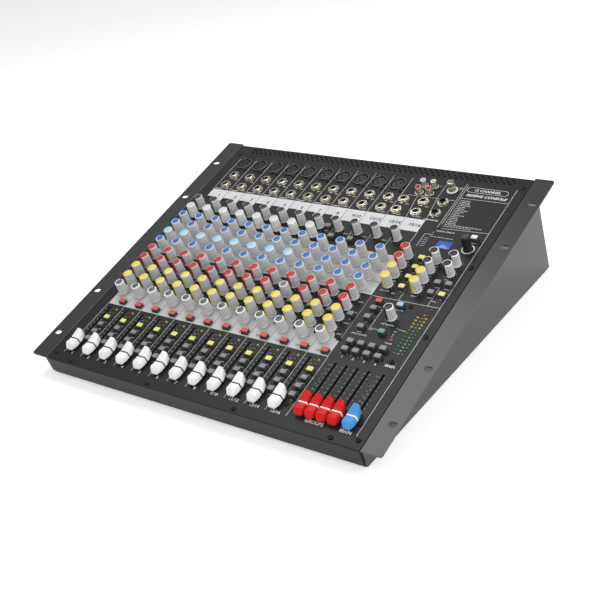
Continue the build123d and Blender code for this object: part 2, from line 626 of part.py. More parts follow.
def lamp_socket():
    """Bayonet socket for a gooseneck lamp, with its white washer."""
    barrel = rod(0, 0, -10.0, LAMP_LENGTH, LAMP_RADIUS) - rod(0, 0, 2.0, LAMP_LENGTH, LAMP_BORE)
    pin = Rot(0, 90, 0) * Cylinder(0.9, 2 * LAMP_RADIUS + 2.0)
    core = rod(0, 0, 1.5, 9.0, LAMP_RADIUS - 0.2)
    barrel = barrel + (Pos(0, 0, LAMP_LENGTH - 3.0) * pin - core - rod(0, 0, 2.0, LAMP_LENGTH, LAMP_BORE))
    washer = rod(0, 0, 0, 0.8, LAMP_WASHER) - rod(0, 0, 0, 0.8, LAMP_RADIUS + THREAD_PLAY)
    return copies([barrel, washer], [LAMP_SOCKET])


def display_window():
    x, y = DISPLAY
    flange = (DISPLAY_SIZE[0] + 4, DISPLAY_SIZE[1] + 4)
    under = -SHEET - GAP / 2
    return [block(x, y, under, 0.2, DISPLAY_SIZE) + block(x, y, BOARD_TOP, under, flange)]


def led(radius):
    lamp = rod(0, 0, -LED_DEPTH, LED_PROUD, radius)
    return fillet(lamp.edges().sort_by(Axis.Z)[-1:], LED_PROUD * 0.9)


def indicator_leds():
    return copies([led(LED_RADIUS)], SMALL_LAMPS) + copies([led(MAIN_LED_RADIUS)], [MAIN_LAMP])


def rear_sockets():
    """Main output sockets and the row of jack sockets on the back."""
    flange = block(0, 0, 0, MIC_FLANGE, (26, 30)) + rod(0, 0, -20, 0, MIC_BODY_RADIUS + 1)
    main = flange - rod(0, 0, MIC_FLANGE - REAR_MIC_DEPTH, MIC_FLANGE, REAR_MIC_BORE)
    for x, y in MIC_PINS:
        main += rod(x, y, MIC_FLANGE - REAR_MIC_DEPTH - 0.5, -2.0, 1.2)
    solids = [on_rear(x, REAR_ROW, main) for x in REAR_MIC_X]
    return solids + [on_rear(x, REAR_ROW, jack_body(-22.0)) for x in REAR_JACK_X]


def mains_inlet():
    """Inlet with its three blades, and the housing of the power switch."""
    inlet = block(0, 0, 0, 2.0, INLET_FACE) + block(0, 0, -INLET_LENGTH, 0, INLET_BODY)
    inlet -= block(0, 0, 2.0 - INLET_DEPTH, 2.0, INLET_CAVITY)
    for x, y in ((-7.0, -2.0), (0.0, 2.0), (7.0, -2.0)):
        inlet += block(x, y, 1.5 - INLET_DEPTH, -1.0, (2.0, 4.0))
    rim = (ROCKER_HOUSING[0] + 3, ROCKER_HOUSING[1] + 3)
    housing = block(0, 0, 0, 1.5, rim) + block(0, 0, -ROCKER_DEPTH, 0, ROCKER_HOUSING)
    pocket = Rot(0, 90, 0) * Cylinder(ROCKER_RADIUS + ROCKER_PLAY, ROCKER_WIDTH + 2 * ROCKER_PLAY)
    mouth = (ROCKER_WIDTH + 2 * ROCKER_PLAY, 2 * (ROCKER_RADIUS + ROCKER_PLAY))
    housing -= Pos(0, 0, rocker_depth()) * pocket
    housing -= block(0, 0, rocker_depth(), 2.0, mouth)
    return [on_rear(INLET_X, REAR_ROW, inlet), on_rear(ROCKER_X, REAR_ROW, housing)]


def rocker_depth():
    """Height of the rocker's pivot over the rear panel's face."""
    return 1.5 + ROCKER_PROUD - ROCKER_RADIUS


def power_rocker():
    """Switch rocker with two flats that meet at a shallow angle."""
    barrel = Rot(0, 90, 0) * Cylinder(ROCKER_RADIUS, ROCKER_WIDTH)
    for side in (-1, 1):
        shave = Box(ROCKER_WIDTH + 2, 2 * ROCKER_RADIUS, 6, align=(Align.CENTER, Align.CENTER, Align.MIN))
        barrel -= Rot(side * ROCKER_THROW / 2, 0, 0) * Pos(0, -side * ROCKER_RADIUS, ROCKER_RADIUS * 0.8) * shave
    barrel = Rot(-ROCKER_THROW / 2, 0, 0) * barrel
    return [on_rear(ROCKER_X, REAR_ROW, Pos(0, 0, rocker_depth()) * barrel)]


# ------------------------------------------------------------------ moving controls
def knob_solids(height=KNOB_HEIGHT, top=KNOB_TOP_RADIUS, base=KNOB_BASE_RADIUS):
    """A tapered cap and the shaft it is pushed onto."""
    profile = Polyline((0, KNOB_CLEARANCE), (base, KNOB_CLEARANCE), (base, KNOB_CLEARANCE + 1.2),
                       (top, height - 0.8), (top - 0.8, height), (0, height), close=True)
    cap = revolve(Plane.XZ * make_face(profile), Axis.Z)
    cap -= rod(0, 0, KNOB_CLEARANCE, height - KNOB_WALL, SHAFT_RADIUS + SHAFT_GRIP)
    shaft = rod(0, 0, -SHAFT_DEPTH, height - KNOB_WALL - 0.2, SHAFT_RADIUS)
    return [cap, shaft]


def fader_cap():
    """Finger grip: dips in the middle, rises to a narrow ridge at the back, with leaning flanks."""
    half = CAP_LENGTH / 2
    side = [(-half, CAP_BOTTOM), (half, CAP_BOTTOM), (half, CAP_REAR_TOP - 4.0), (half - 1.4, CAP_REAR_TOP),
            (0, CAP_MIDDLE_TOP), (-half * 0.66, CAP_FRONT_TOP), (-half, CAP_BOTTOM + 2.4)]
    profile = extrude(Plane.YZ.offset(-CAP_WIDTH) * make_face(Polyline(*side, close=True)), 2 * CAP_WIDTH)
    end, wide = CAP_END_WIDTH / 2, CAP_WIDTH / 2
    plan = [(-end, -half), (end, -half), (wide, -half * 0.5), (wide, half * 0.3), (end, half * 0.9),
            (end * 0.5, half), (-end * 0.5, half), (-end, half * 0.9), (-wide, half * 0.3), (-wide, -half * 0.5)]
    outline = extrude(make_face(Polyline(*plan, close=True)), CAP_REAR_TOP + 2)
    crown, ridge = CAP_CROWN_WIDTH / 2, CAP_RIDGE_WIDTH / 2
    section = [(-wide, 0), (wide, 0), (wide, CAP_BOTTOM + 2.0), (crown, CAP_FRONT_TOP), (ridge, CAP_REAR_TOP + 1),
               (-ridge, CAP_REAR_TOP + 1), (-crown, CAP_FRONT_TOP), (-wide, CAP_BOTTOM + 2.0)]
    flanks = extrude(Plane.XZ.offset(-CAP_LENGTH) * make_face(Polyline(*section, close=True)), 2 * CAP_LENGTH)
    cap = profile & outline & flanks
    pocket = (LEVER_WIDTH + 2 * LEVER_GRIP, LEVER_LENGTH + 2 * LEVER_GRIP)
    return cap - block(0, 0, 0, LEVER_TOP + LEVER_GRIP, pocket)


def fader_solids():
    lever = block(0, 0, LEVER_BOTTOM, LEVER_TOP, (LEVER_WIDTH, LEVER_LENGTH))
    return [fader_cap(), lever]


def button_solids(size, proud):
    """Cap with softened edges on a square stem."""
    cap = block(0, 0, -BUTTON_DEPTH, proud, size)
    cap = fillet(cap.edges().filter_by(Axis.Z) + cap.edges().filter_by(lambda e: e.center().Z > proud - 0.01),
                 BUTTON_ROUND)
    return [cap + block(0, 0, -BUTTON_DEPTH - STEM_LENGTH, -BUTTON_DEPTH, (STEM, STEM))]


def write_faders():
    solids = fader_solids()
    names = ["channel_fader_%02d" % (i + 1) for i in range(STRIPS)]
    names += ["group_fader_%d" % (i + 1) for i in range(GROUP_FADERS)] + ["main_fader"]
    for name, x in zip(names, ALL_FADER_X):
        write(name, copies(solids, [(x, FADER_REST)]))


def write_knobs():
    """The first strip's knobs turn one by one; the rest of each kind share a node."""
    knob = knob_solids()
    kinds = {"gain": GAIN_PLACES, "comp": COMP_PLACES, "eq": EQ_PLACES, "aux": AUX_PLACES,
             "effect": FX_PLACES, "pan": PAN_PLACES}
    for kind, places in kinds.items():
        write(kind + "_knob_1", copies(knob, places[:1]))
        write(kind + "_knobs", copies(knob, places[1:]))
    write("eq_sweep_knobs", copies(knob, SWEEP_PLACES))
    write("master_knobs", copies(knob, MASTER_PLACES))
    write("phones_knob", copies(knob, [PHONES_KNOB]))
    encoder = knob_solids(ENCODER_HEIGHT, ENCODER_RADIUS, ENCODER_RADIUS)
    write("data_encoder", copies(encoder, [ENCODER]))


def write_buttons():
    write("mute_buttons", copies(button_solids(MUTE_SIZE, MUTE_PROUD), MUTE_PLACES))
    button = button_solids(BUTTON_SIZE, BUTTON_PROUD)
    write("assign_buttons", copies(button, ASSIGN_PLACES))
    write("route_buttons", copies(button, ROUTE_PLACES))


def write_case():
    write("top_panel", [top_panel()])
    write("side_plate_left", [side_plate(-1)])
    write("side_plate_right", [side_plate(1)])
    write("bottom_plate", [bottom_plate()], lambda solid: solid)
    write("rear_panel", [rear_panel()])
    write("support_frame", support_frame())
    write("case_screws", [stand(s) for s in case_screws()] + [on_base(s) for s in foot_screws()],
          lambda solid: solid)
    write("rubber_feet", rubber_feet(), on_base)


def write_inside():
    write("circuit_boards", circuit_boards())
    write("potentiometers", potentiometers())
    write("fader_tracks", fader_tracks())
    write("switch_bodies", switch_bodies())
    write("mains_transformer", mains_transformer(), on_base)
    write("power_board", power_board(), on_base)


def write_sockets():
    write("mic_sockets", mic_sockets())
    write("jack_sockets", jack_sockets())
    write("jack_nuts", jack_nuts())
    write("phono_sockets", phono_sockets())
    write("lamp_socket", lamp_socket())
    write("display_window", display_window())
    write("indicator_leds", indicator_leds())
    write("rear_sockets", rear_sockets())
    write("mains_inlet", mains_inlet())
    write("power_rocker", power_rocker())


os.makedirs("parts", exist_ok=True)
write_case()
write_inside()
write_sockets()
write_faders()
write_knobs()
write_buttons()
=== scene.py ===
"""Mixing console: finishes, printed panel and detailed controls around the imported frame.

Everything on the control surface is drawn in the panel's own frame, in millimetres:
X across, Y up the slope from the front edge of the rack ears, Z out of the face.
"""

import json
import logging
from dataclasses import dataclass, field
from enum import Enum, IntEnum

import bpy
import numpy as np
from mathutils import Matrix, Vector

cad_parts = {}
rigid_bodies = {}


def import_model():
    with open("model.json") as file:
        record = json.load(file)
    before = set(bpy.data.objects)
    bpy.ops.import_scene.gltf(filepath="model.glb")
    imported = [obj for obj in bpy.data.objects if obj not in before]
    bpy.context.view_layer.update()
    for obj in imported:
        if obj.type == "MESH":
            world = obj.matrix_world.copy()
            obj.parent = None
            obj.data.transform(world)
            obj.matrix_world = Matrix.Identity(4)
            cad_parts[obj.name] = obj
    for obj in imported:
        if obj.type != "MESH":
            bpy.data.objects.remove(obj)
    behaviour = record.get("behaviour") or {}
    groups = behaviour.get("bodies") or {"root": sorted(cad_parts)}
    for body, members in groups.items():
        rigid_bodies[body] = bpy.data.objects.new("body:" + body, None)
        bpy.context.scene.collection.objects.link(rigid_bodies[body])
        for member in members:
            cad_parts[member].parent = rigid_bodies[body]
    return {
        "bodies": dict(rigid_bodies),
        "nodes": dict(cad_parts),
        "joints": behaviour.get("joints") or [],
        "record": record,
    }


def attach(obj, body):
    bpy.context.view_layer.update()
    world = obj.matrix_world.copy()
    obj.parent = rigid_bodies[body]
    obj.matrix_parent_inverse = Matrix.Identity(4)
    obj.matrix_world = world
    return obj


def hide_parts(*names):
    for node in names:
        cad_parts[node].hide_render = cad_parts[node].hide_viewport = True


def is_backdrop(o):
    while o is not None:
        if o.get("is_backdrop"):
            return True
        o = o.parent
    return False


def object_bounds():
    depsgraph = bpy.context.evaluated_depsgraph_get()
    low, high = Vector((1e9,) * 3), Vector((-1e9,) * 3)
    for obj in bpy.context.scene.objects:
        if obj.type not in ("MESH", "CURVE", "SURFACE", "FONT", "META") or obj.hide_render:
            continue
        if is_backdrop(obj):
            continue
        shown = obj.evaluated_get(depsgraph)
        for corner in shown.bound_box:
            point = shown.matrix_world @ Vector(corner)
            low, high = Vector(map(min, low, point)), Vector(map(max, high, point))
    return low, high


LOG = logging.getLogger("console")
MM = 0.001

# ------------------------------------------------------------------ driving sizes, millimetres
PANEL_FOLD = 1.0              # top panel in front of the ears' front edge
STRIPS = 12
MONO_STRIPS = 8
MIC_STRIPS = 10
GROUPS = 4
KNOB_ROWS = 11
KNOB_RIBS = 16
RIB_POINTS = 5                # points round the axis for each rib of a knob
KNOB_POINTS = KNOB_RIBS * RIB_POINTS
SCALE_TICKS = 11
NAME_BAND = (314.2, 329.4)    # printed bands: front and rear edge up the slope
NAME_NOTCH = 307.6
PAN_BAND = (99.7, 126.4)
EQ_BAND = (197.6, 263.4)
NEAR = 3.0                    # a control this close to a place is the one meant
FLOOR_REACH = 30.0            # metres
PRINT_LIFT = 0.04             # printed areas over the paint
TEXT_LIFT = 0.08              # lettering over printed areas
LINE = 0.45                   # printed line width
KNOB_CLEAR = 0.9
SEVEN_O_CLOCK = 150.0         # a pot at its minimum, degrees anticlockwise from straight up
COAT_GRAIN = 1600.0           # noise features a metre in the powder coat
SHANK = 1.4                   # radius of a screw
OPEN = (False, False)         # a loft with neither end closed
STRIP_NAMES = ("1", "2", "3", "4", "5", "6", "7", "8", "9/10", "11/12", "13/14", "15/16")


# ------------------------------------------------------------------ finishes
@dataclass(frozen=True)
class Finish:
    """One procedural surface: colour, gloss, mottling and fine relief."""

    name: str
    slot: str
    colour: tuple
    roughness: float = 0.5
    metallic: float = 0.0
    grain: float = 900.0
    relief: float = 0.05
    mottle: float = 0.06
    coat: float = 0.0
    brushed: bool = False
    sheen: float = 0.5

    def build(self) -> bpy.types.Material:
        """Makes the node material.

        Returns:
            The material, with noise in object coordinates driving colour, roughness and bump.
        """
        title = self.name + "_look"
        found = bpy.data.materials.get(title)
        if found:
            return found
        material = bpy.data.materials.new(title)
        material.use_nodes = True
        material.diffuse_color = (*self.colour, 1.0)
        tree = material.node_tree
        shader = tree.nodes["Principled BSDF"]
        shader.inputs["Metallic"].default_value = self.metallic
        shader.inputs["Coat Weight"].default_value = self.coat
        shader.inputs["Coat Roughness"].default_value = 0.12
        shader.inputs["Specular IOR Level"].default_value = self.sheen
        place = tree.nodes.new("ShaderNodeTexCoord")
        stretch = tree.nodes.new("ShaderNodeMapping")
        stretch.inputs["Scale"].default_value = (0.04, 1.0, 1.0) if self.brushed else (1.0, 1.0, 1.0)
        tree.links.new(place.outputs["Object"], stretch.inputs["Vector"])
        fine = self._noise(tree, stretch, self.grain, 3.0)
        broad = self._noise(tree, stretch, self.grain / 14.0, 2.0)
        self._colour(tree, shader, broad)
        self._gloss(tree, shader, fine)
        bump = tree.nodes.new("ShaderNodeBump")
        bump.inputs["Strength"].default_value = self.relief
        bump.inputs["Distance"].default_value = 0.0002
        tree.links.new(fine.outputs["Fac"], bump.inputs["Height"])
        tree.links.new(bump.outputs["Normal"], shader.inputs["Normal"])
        return material

    @staticmethod
    def _noise(tree: bpy.types.NodeTree, vector: bpy.types.Node, scale: float,
               detail: float) -> bpy.types.Node:
        """Adds a noise texture.

        Args:
            tree: the material's nodes.
            vector: node that gives the coordinates.
            scale: features per metre.
            detail: octaves.

        Returns:
            The noise node.
        """
        noise = tree.nodes.new("ShaderNodeTexNoise")
        noise.inputs["Scale"].default_value = scale
        noise.inputs["Detail"].default_value = detail
        tree.links.new(vector.outputs["Vector"], noise.inputs["Vector"])
        return noise

    def _colour(self, tree: bpy.types.NodeTree, shader: bpy.types.Node, noise: bpy.types.Node) -> None:
        """Mottles the base colour a little darker and lighter.

        Args:
            tree: the material's nodes.
            shader: the principled shader.
            noise: broad noise.
        """
        ramp = tree.nodes.new("ShaderNodeValToRGB")
        low = [c * (1.0 - self.mottle) for c in self.colour]
        high = [min(1.0, c * (1.0 + self.mottle)) for c in self.colour]
        ramp.color_ramp.elements[0].position = 0.3
        ramp.color_ramp.elements[0].color = (*low, 1.0)
        ramp.color_ramp.elements[1].position = 0.7
        ramp.color_ramp.elements[1].color = (*high, 1.0)
        tree.links.new(noise.outputs["Fac"], ramp.inputs["Fac"])
        tree.links.new(ramp.outputs["Color"], shader.inputs["Base Color"])

    def _gloss(self, tree: bpy.types.NodeTree, shader: bpy.types.Node, noise: bpy.types.Node) -> None:
        """Varies the roughness round its middle value.

        Args:
            tree: the material's nodes.
            shader: the principled shader.
            noise: fine noise.
        """
        span = tree.nodes.new("ShaderNodeMapRange")
        span.inputs["To Min"].default_value = max(0.02, self.roughness - 0.05)
        span.inputs["To Max"].default_value = min(1.0, self.roughness + 0.05)
        tree.links.new(noise.outputs["Fac"], span.inputs["Value"])
        tree.links.new(span.outputs["Result"], shader.inputs["Roughness"])


POWDER = Finish("powder_coat", "powder_coat", (0.016, 0.0165, 0.0175), 0.42, grain=COAT_GRAIN, relief=0.28,
                sheen=0.2)
# Partly painted sheen: the panel's black powder coat, a little lighter in colour to stand in for the sheen
# the ears catch, with a higher specular level as well.
EAR_SHEEN_COAT = Finish("ear_coat", "powder_coat", (0.020, 0.021, 0.0225), 0.34, grain=COAT_GRAIN, relief=0.2,
             sheen=0.55)
STEEL = Finish("bare_steel", "bare_steel", (0.56, 0.56, 0.58), 0.32, 1.0, brushed=True)
MASK = Finish("solder_mask", "circuit_board", (0.03, 0.16, 0.08), 0.35)
BLACK = Finish("black_plastic", "black_plastic", (0.012, 0.012, 0.013), 0.38)
GLOSS_BLACK = Finish("gloss_black", "black_plastic", (0.008, 0.008, 0.009), 0.34)
# Painted highlight: the microphone sockets' black plastic ring made lighter grey to stand in for light
# caught on its bevelled edge.
RING_HIGHLIGHT = Finish("satin_ring", "black_plastic", (0.05, 0.05, 0.052), 0.3)
SCREW = Finish("black_zinc", "powder_coat", (0.02, 0.02, 0.022), 0.3, 0.7, relief=0.02)
NICKEL = Finish("nickel", "nickel", (0.57, 0.53, 0.45), 0.24, 1.0, relief=0.02)
GOLD = Finish("gilt", "nickel", (0.72, 0.62, 0.40), 0.2, 1.0, relief=0.02)
KNOB_GREY = Finish("knob_grey", "knob_grey", (0.60, 0.60, 0.603), 0.48, relief=0.08)
# Painted shade: darker copies of the grey and white knob plastic for the floors of the rib grooves, where
# shade falls.
KNOB_GROOVE_SHADE = Finish("knob_groove", "knob_grey", (0.24, 0.24, 0.243), 0.55)
PALE_GROOVE_SHADE = Finish("pale_groove", "knob_white", (0.42, 0.42, 0.415), 0.5)
KNOB_RIM = Finish("knob_rim", "knob_grey", (0.60, 0.60, 0.60), 0.42)
KNOB_WHITE = Finish("knob_white", "knob_white", (0.80, 0.80, 0.79), 0.42)
CROWN_GREY = Finish("crown_grey", "knob_grey", (0.10, 0.10, 0.105), 0.45)
CROWN_BROWN = Finish("crown_brown", "knob_grey", (0.20, 0.16, 0.15), 0.45)
INSERT_BLACK = Finish("insert_black", "knob_grey", (0.014, 0.014, 0.015), 0.35)
INSERT_RED = Finish("insert_red", "knob_grey", (0.46, 0.030, 0.020), 0.40, sheen=0.3)
INSERT_YELLOW = Finish("insert_yellow", "knob_grey", (0.74, 0.62, 0.10), 0.42, sheen=0.3)
INSERT_BLUE = Finish("insert_blue", "knob_grey", (0.008, 0.12, 0.44), 0.40)
INSERT_SKY = Finish("insert_sky", "knob_grey", (0.30, 0.56, 0.78), 0.42)
FADER_WHITE = Finish("fader_white", "fader_white", (0.84, 0.84, 0.835), 0.36, sheen=0.3)
FADER_RED = Finish("fader_red", "fader_red", (0.58, 0.012, 0.010), 0.4, sheen=0.2)
FADER_BLUE = Finish("fader_blue", "fader_blue", (0.075, 0.29, 0.62), 0.4, sheen=0.2)
BUTTON_RED = Finish("button_red", "button_red", (0.62, 0.085, 0.078), 0.42, sheen=0.3)
BUTTON_YELLOW = Finish("button_yellow", "button_yellow", (0.76, 0.69, 0.21), 0.42, sheen=0.3)
BUTTON_GREY = Finish("button_grey", "button_grey", (0.23, 0.23, 0.232), 0.42, sheen=0.3)
BUTTON_SKY = Finish("button_sky", "button_grey", (0.30, 0.52, 0.70), 0.42)
BUTTON_TEAL = Finish("button_teal", "button_grey", (0.13, 0.27, 0.28), 0.42)
BUTTON_WHITE = Finish("button_white", "button_grey", (0.72, 0.72, 0.72), 0.42)
BUTTON_BASE = Finish("button_base", "button_grey", (0.035, 0.036, 0.038), 0.45)
LENS_GREEN = Finish("lens_green", "lens", (0.012, 0.13, 0.016), 0.2, coat=0.4)
LENS_LIME = Finish("lens_lime", "lens", (0.26, 0.29, 0.02), 0.2, coat=0.4)
LENS_YELLOW = Finish("lens_yellow", "lens", (0.28, 0.24, 0.025), 0.2, coat=0.4)
LENS_RED = Finish("lens_red", "lens", (0.12, 0.004, 0.008), 0.2, coat=0.5)
LENS_POWER = Finish("lens_power", "lens", (0.26, 0.006, 0.014), 0.16, coat=0.6)
DISPLAY = Finish("display", "display", (0.010, 0.09, 0.42), 0.3, relief=0.0, coat=0.3)
INK_WHITE = Finish("ink_white", "powder_coat", (0.70, 0.70, 0.70), 0.5)
INK_GREY = Finish("ink_grey", "powder_coat", (0.36, 0.36, 0.365), 0.5)
INK_LABEL = Finish("ink_label", "powder_coat", (0.60, 0.60, 0.61), 0.5)
INK_EQ = Finish("ink_eq", "powder_coat", (0.54, 0.545, 0.555), 0.5)
INK_PAN = Finish("ink_pan", "powder_coat", (0.47, 0.47, 0.475), 0.5)
INK_DARK = Finish("ink_dark", "powder_coat", (0.03, 0.03, 0.032), 0.5)
PHONO_WHITE = Finish("phono_white", "nickel", (0.70, 0.70, 0.69), 0.35)
PHONO_RED = Finish("phono_red", "nickel", (0.42, 0.03, 0.02), 0.35)
COPPER_TAPE = Finish("winding", "copper_winding", (0.55, 0.42, 0.08), 0.35, relief=0.2)
RUBBER = Finish("rubber", "rubber", (0.015, 0.015, 0.015), 0.75, relief=0.3)


# ------------------------------------------------------------------ frames
@dataclass(frozen=True)
class Plate:
    """A flat face of the console with its own axes; sizes on it are millimetres."""

    origin: np.ndarray
    axes: np.ndarray

    @classmethod
    def control_surface(cls, frame: dict) -> "Plate":
        """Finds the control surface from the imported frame.


        Returns:
            The plate: faders slide along its Y, and the top panel's upper face is its Z = 0.
        """
        slide = next(j for j in frame["joints"] if j["child"] == "channel_fader_01")
        slope = np.array(slide["axis"], float)
        slope /= np.linalg.norm(slope)
        across = np.array((1.0, 0.0, 0.0))
        normal = np.cross(across, slope)
        points = node_points(frame["nodes"]["top_panel"])
        front = (points @ slope).min() + PANEL_FOLD * MM
        return cls(slope * front + normal * (points @ normal).max(), np.array((across, slope, normal)))

    def rear(self, reach: float) -> "Plate":
        """The outer face of the rear panel, read from behind."""
        across, slope, normal = self.axes
        return Plate(self.origin + slope * reach * MM, np.array((-across, normal, slope)))

    def to_shared(self, points: np.ndarray) -> np.ndarray:
        """Millimetres on the plate to metres in the shared frame."""
        return self.origin + MM * np.asarray(points, float) @ self.axes

    def to_plate(self, points: np.ndarray) -> np.ndarray:
        """Metres in the shared frame to millimetres on the plate."""
        return (np.asarray(points, float) - self.origin) @ self.axes.T / MM


def node_points(node: bpy.types.Object) -> np.ndarray:
    """Vertices of a CAD node in the shared frame.

    Args:
        node: the node's object.

    Returns:
        (n, 3) metres.
    """
    flat = np.empty(len(node.data.vertices) * 3)
    node.data.vertices.foreach_get("co", flat)
    return flat.reshape(-1, 3)


def islands(node: bpy.types.Object, plate: Plate) -> np.ndarray:
    """Finds each separate solid of a CAD node.

    Vertices at one place are merged, then the lowest label spreads along the edges until
    every solid carries one label.

    Args:
        node: the node's object.
        plate: frame to measure in.

    Returns:
        (n, 6) rows of x, y, low z, high z, x width and y width, sorted by y then x.
    """
    points = plate.to_plate(node_points(node))
    _, same = np.unique(np.round(points, 2), axis=0, return_inverse=True)
    same = same.ravel()
    edges = np.empty(len(node.data.edges) * 2, np.int64)
    node.data.edges.foreach_get("vertices", edges)
    start, end = same[edges.reshape(-1, 2)].T
    label = np.arange(same.max() + 1)
    while True:
        low = np.minimum(label[start], label[end])
        fresh = label.copy()
        np.minimum.at(fresh, start, low)
        np.minimum.at(fresh, end, low)
        fresh = fresh[fresh]
        if (fresh == label).all():
            break
        label = fresh
    kinds, group = np.unique(label[same], return_inverse=True)
    least = np.full((len(kinds), 3), np.inf)
    most = np.full((len(kinds), 3), -np.inf)
    np.minimum.at(least, group.ravel(), points)
    np.maximum.at(most, group.ravel(), points)
    middle = (least + most) / 2
    rows = np.column_stack((middle[:, :2], least[:, 2], most[:, 2], (most - least)[:, :2]))
    return rows[np.lexsort((np.round(rows[:, 0], 1), np.round(rows[:, 1], 1)))]


def places_of(node: bpy.types.Object, plate: Plate) -> np.ndarray:
    """Where a node's controls stand: one place for solids that share a centre.

    Args:
        node: the node's object.
        plate: frame to measure in.

    Returns:
        (n, 2) places in millimetres.
    """
    return np.unique(np.round(islands(node, plate)[:, :2], 1), axis=0)


# ------------------------------------------------------------------ shapes
@dataclass
class Shape:
    """A mesh in millimetres; the last index of a triangle is -1."""

    verts: np.ndarray
    faces: np.ndarray
    tints: np.ndarray

    def tinted(self, tint: int) -> "Shape":
        """The same shape in another finish."""
        return Shape(self.verts, self.faces, np.full(len(self.faces), tint))

    def moved(self, x: float = 0.0, y: float = 0.0, z: float = 0.0) -> "Shape":
        """The same shape elsewhere."""
        return Shape(self.verts + (x, y, z), self.faces, self.tints)


def join(shapes: list) -> Shape:
    """Several shapes as one.

    Args:
        shapes: the shapes.

    Returns:
        One shape.
    """
    counts = np.cumsum([0] + [len(s.verts) for s in shapes[:-1]])
    faces = [np.where(s.faces < 0, -1, s.faces + n) for s, n in zip(shapes, counts)]
    tints = np.concatenate([s.tints for s in shapes])
    return Shape(np.vstack([s.verts for s in shapes]), np.vstack(faces), tints)


def copies(shape: Shape, places: np.ndarray, turn: float = 0.0) -> Shape:
    """The shape at each place, all turned alike about the outward direction.

    Args:
        shape: pattern drawn round the origin.
        places: (n, 2) or (n, 3) places.
        turn: degrees anticlockwise.

    Returns:
        One shape.
    """
    places = np.atleast_2d(np.asarray(places, float))
    shift = np.zeros((len(places), 1, 3))
    shift[:, 0, : places.shape[1]] = places
    angle = np.radians(turn)
    spin = np.array(((np.cos(angle), np.sin(angle), 0), (-np.sin(angle), np.cos(angle), 0), (0, 0, 1)))
    verts = (shape.verts @ spin)[None] + shift
    step = np.arange(len(places))[:, None, None] * len(shape.verts)
    faces = np.where(shape.faces[None] < 0, -1, shape.faces[None] + step)
    return Shape(verts.reshape(-1, 3), faces.reshape(-1, 4), np.tile(shape.tints, len(places)))


def loft(rings: np.ndarray, tints: object = 0, caps: tuple = (True, True)) -> Shape:
    """Skins a stack of closed rings with quads and closes the ends with fans.

    Args:
        rings: (m, n, 3) points, anticlockwise seen from the last ring's side.
        tints: one finish index, one for each of the m - 1 bands, or an (m - 1, n) table.
        caps: whether to close the first and the last ring.

    Returns:
        The shape.
    """
    count, size, _ = rings.shape
    index = np.arange(count * size).reshape(count, size)
    low, high = index[:-1], index[1:]
    quads = np.stack((low, np.roll(low, -1, 1), np.roll(high, -1, 1), high), -1).reshape(-1, 4)
    table = np.asarray(tints)
    table = table if table.ndim == 2 else np.repeat(np.broadcast_to(table, (count - 1,))[:, None], size, 1)
    bands, shades = table[:, 0], table.ravel()
    verts = [rings.reshape(-1, 3)]
    for closed, ring, order, band in ((caps[0], index[0], -1, 0), (caps[1], index[-1], 1, -1)):
        if closed:
            centre = sum(len(v) for v in verts)
            verts.append(rings.reshape(-1, 3)[ring].mean(0)[None])
            pair = np.stack((ring, np.roll(ring, -1)), -1)[:, ::order]
            fan = np.column_stack((np.full(size, centre), pair, np.full(size, -1)))
            quads = np.vstack((quads, fan))
            shades = np.concatenate((shades, np.full(size, bands[band])))
    return Shape(np.vstack(verts), quads, shades)


def lathe(profile: list, segments: int, tints: object = 0, ribs: int = 0, depth: np.ndarray = None,
          caps: tuple = (True, True)) -> Shape:
    """Turned shape whose radius can carry ribs.

    The radius at angle a is the profile's radius less depth times a rounded wave with
    `ribs` periods, (1 - cos(ribs a)) / 2 raised to the power 1.6, so grooves are narrow.

    Args:
        profile: (radius, z) from the bottom up.
        segments: points round the axis.
        tints: finish index for the whole or for each band.
        ribs: number of ribs.
        depth: rib depth at each level of the profile.
        caps: whether to close the ends.

    Returns:
        The shape.
    """
    radius, level = np.array(profile, float).T
    angle = np.arange(segments) * 2 * np.pi / segments
    wave = ((1 - np.cos(ribs * angle)) / 2) ** 1.6
    carve = np.zeros(len(radius)) if depth is None else np.asarray(depth, float)
    reach = radius[:, None] - carve[:, None] * wave
    height = np.broadcast_to(level[:, None], reach.shape)
    return loft(np.stack((reach * np.cos(angle), reach * np.sin(angle), height), -1), tints, caps)


def rounded_ring(width: float, depth: float, radius: float, corner: int = 4) -> np.ndarray:
    """Outline of a rectangle with round corners, anticlockwise.

    Args:
        width: along X.
        depth: along Y.
        radius: corner radius.
        corner: points at each corner.

    Returns:
        (4 corner, 2) points.
    """
    arc = np.linspace(0, np.pi / 2, corner) + np.arange(4)[:, None] * np.pi / 2
    side_x = np.array((1, -1, -1, 1))[:, None] * (width / 2 - radius)
    side_y = np.array((1, 1, -1, -1))[:, None] * (depth / 2 - radius)
    x = side_x + radius * np.cos(arc)
    y = side_y + radius * np.sin(arc)
    return np.column_stack((x.ravel(), y.ravel()))


def stack(levels: list, tints: object = 0, corner: int = 4) -> Shape:
    """Rounded rectangles at rising levels, skinned.

    Args:
        levels: (z, width, depth, corner radius) from the bottom up.
        tints: finish index for the whole or for each band.
        corner: points at each corner.

    Returns:
        The shape.
    """
    rings = [np.column_stack((rounded_ring(w, d, r, corner), np.full(4 * corner, z)))
             for z, w, d, r in levels]
    return loft(np.array(rings), tints)


def rectangles(boxes: np.ndarray, tint: int = 0, lift: float = PRINT_LIFT) -> Shape:
    """Flat printed rectangles.

    Args:
        boxes: (n, 4) rows of x0, y0, x1, y1.
        tint: finish index.
        lift: height over the paint.

    Returns:
        The shape.
    """
    boxes = np.atleast_2d(np.asarray(boxes, float))
    corners = boxes[:, [0, 1, 2, 1, 2, 3, 0, 3]].reshape(-1, 2)
    verts = np.column_stack((corners, np.full(len(corners), lift)))
    return Shape(verts, np.arange(len(corners)).reshape(-1, 4), np.full(len(boxes), tint))


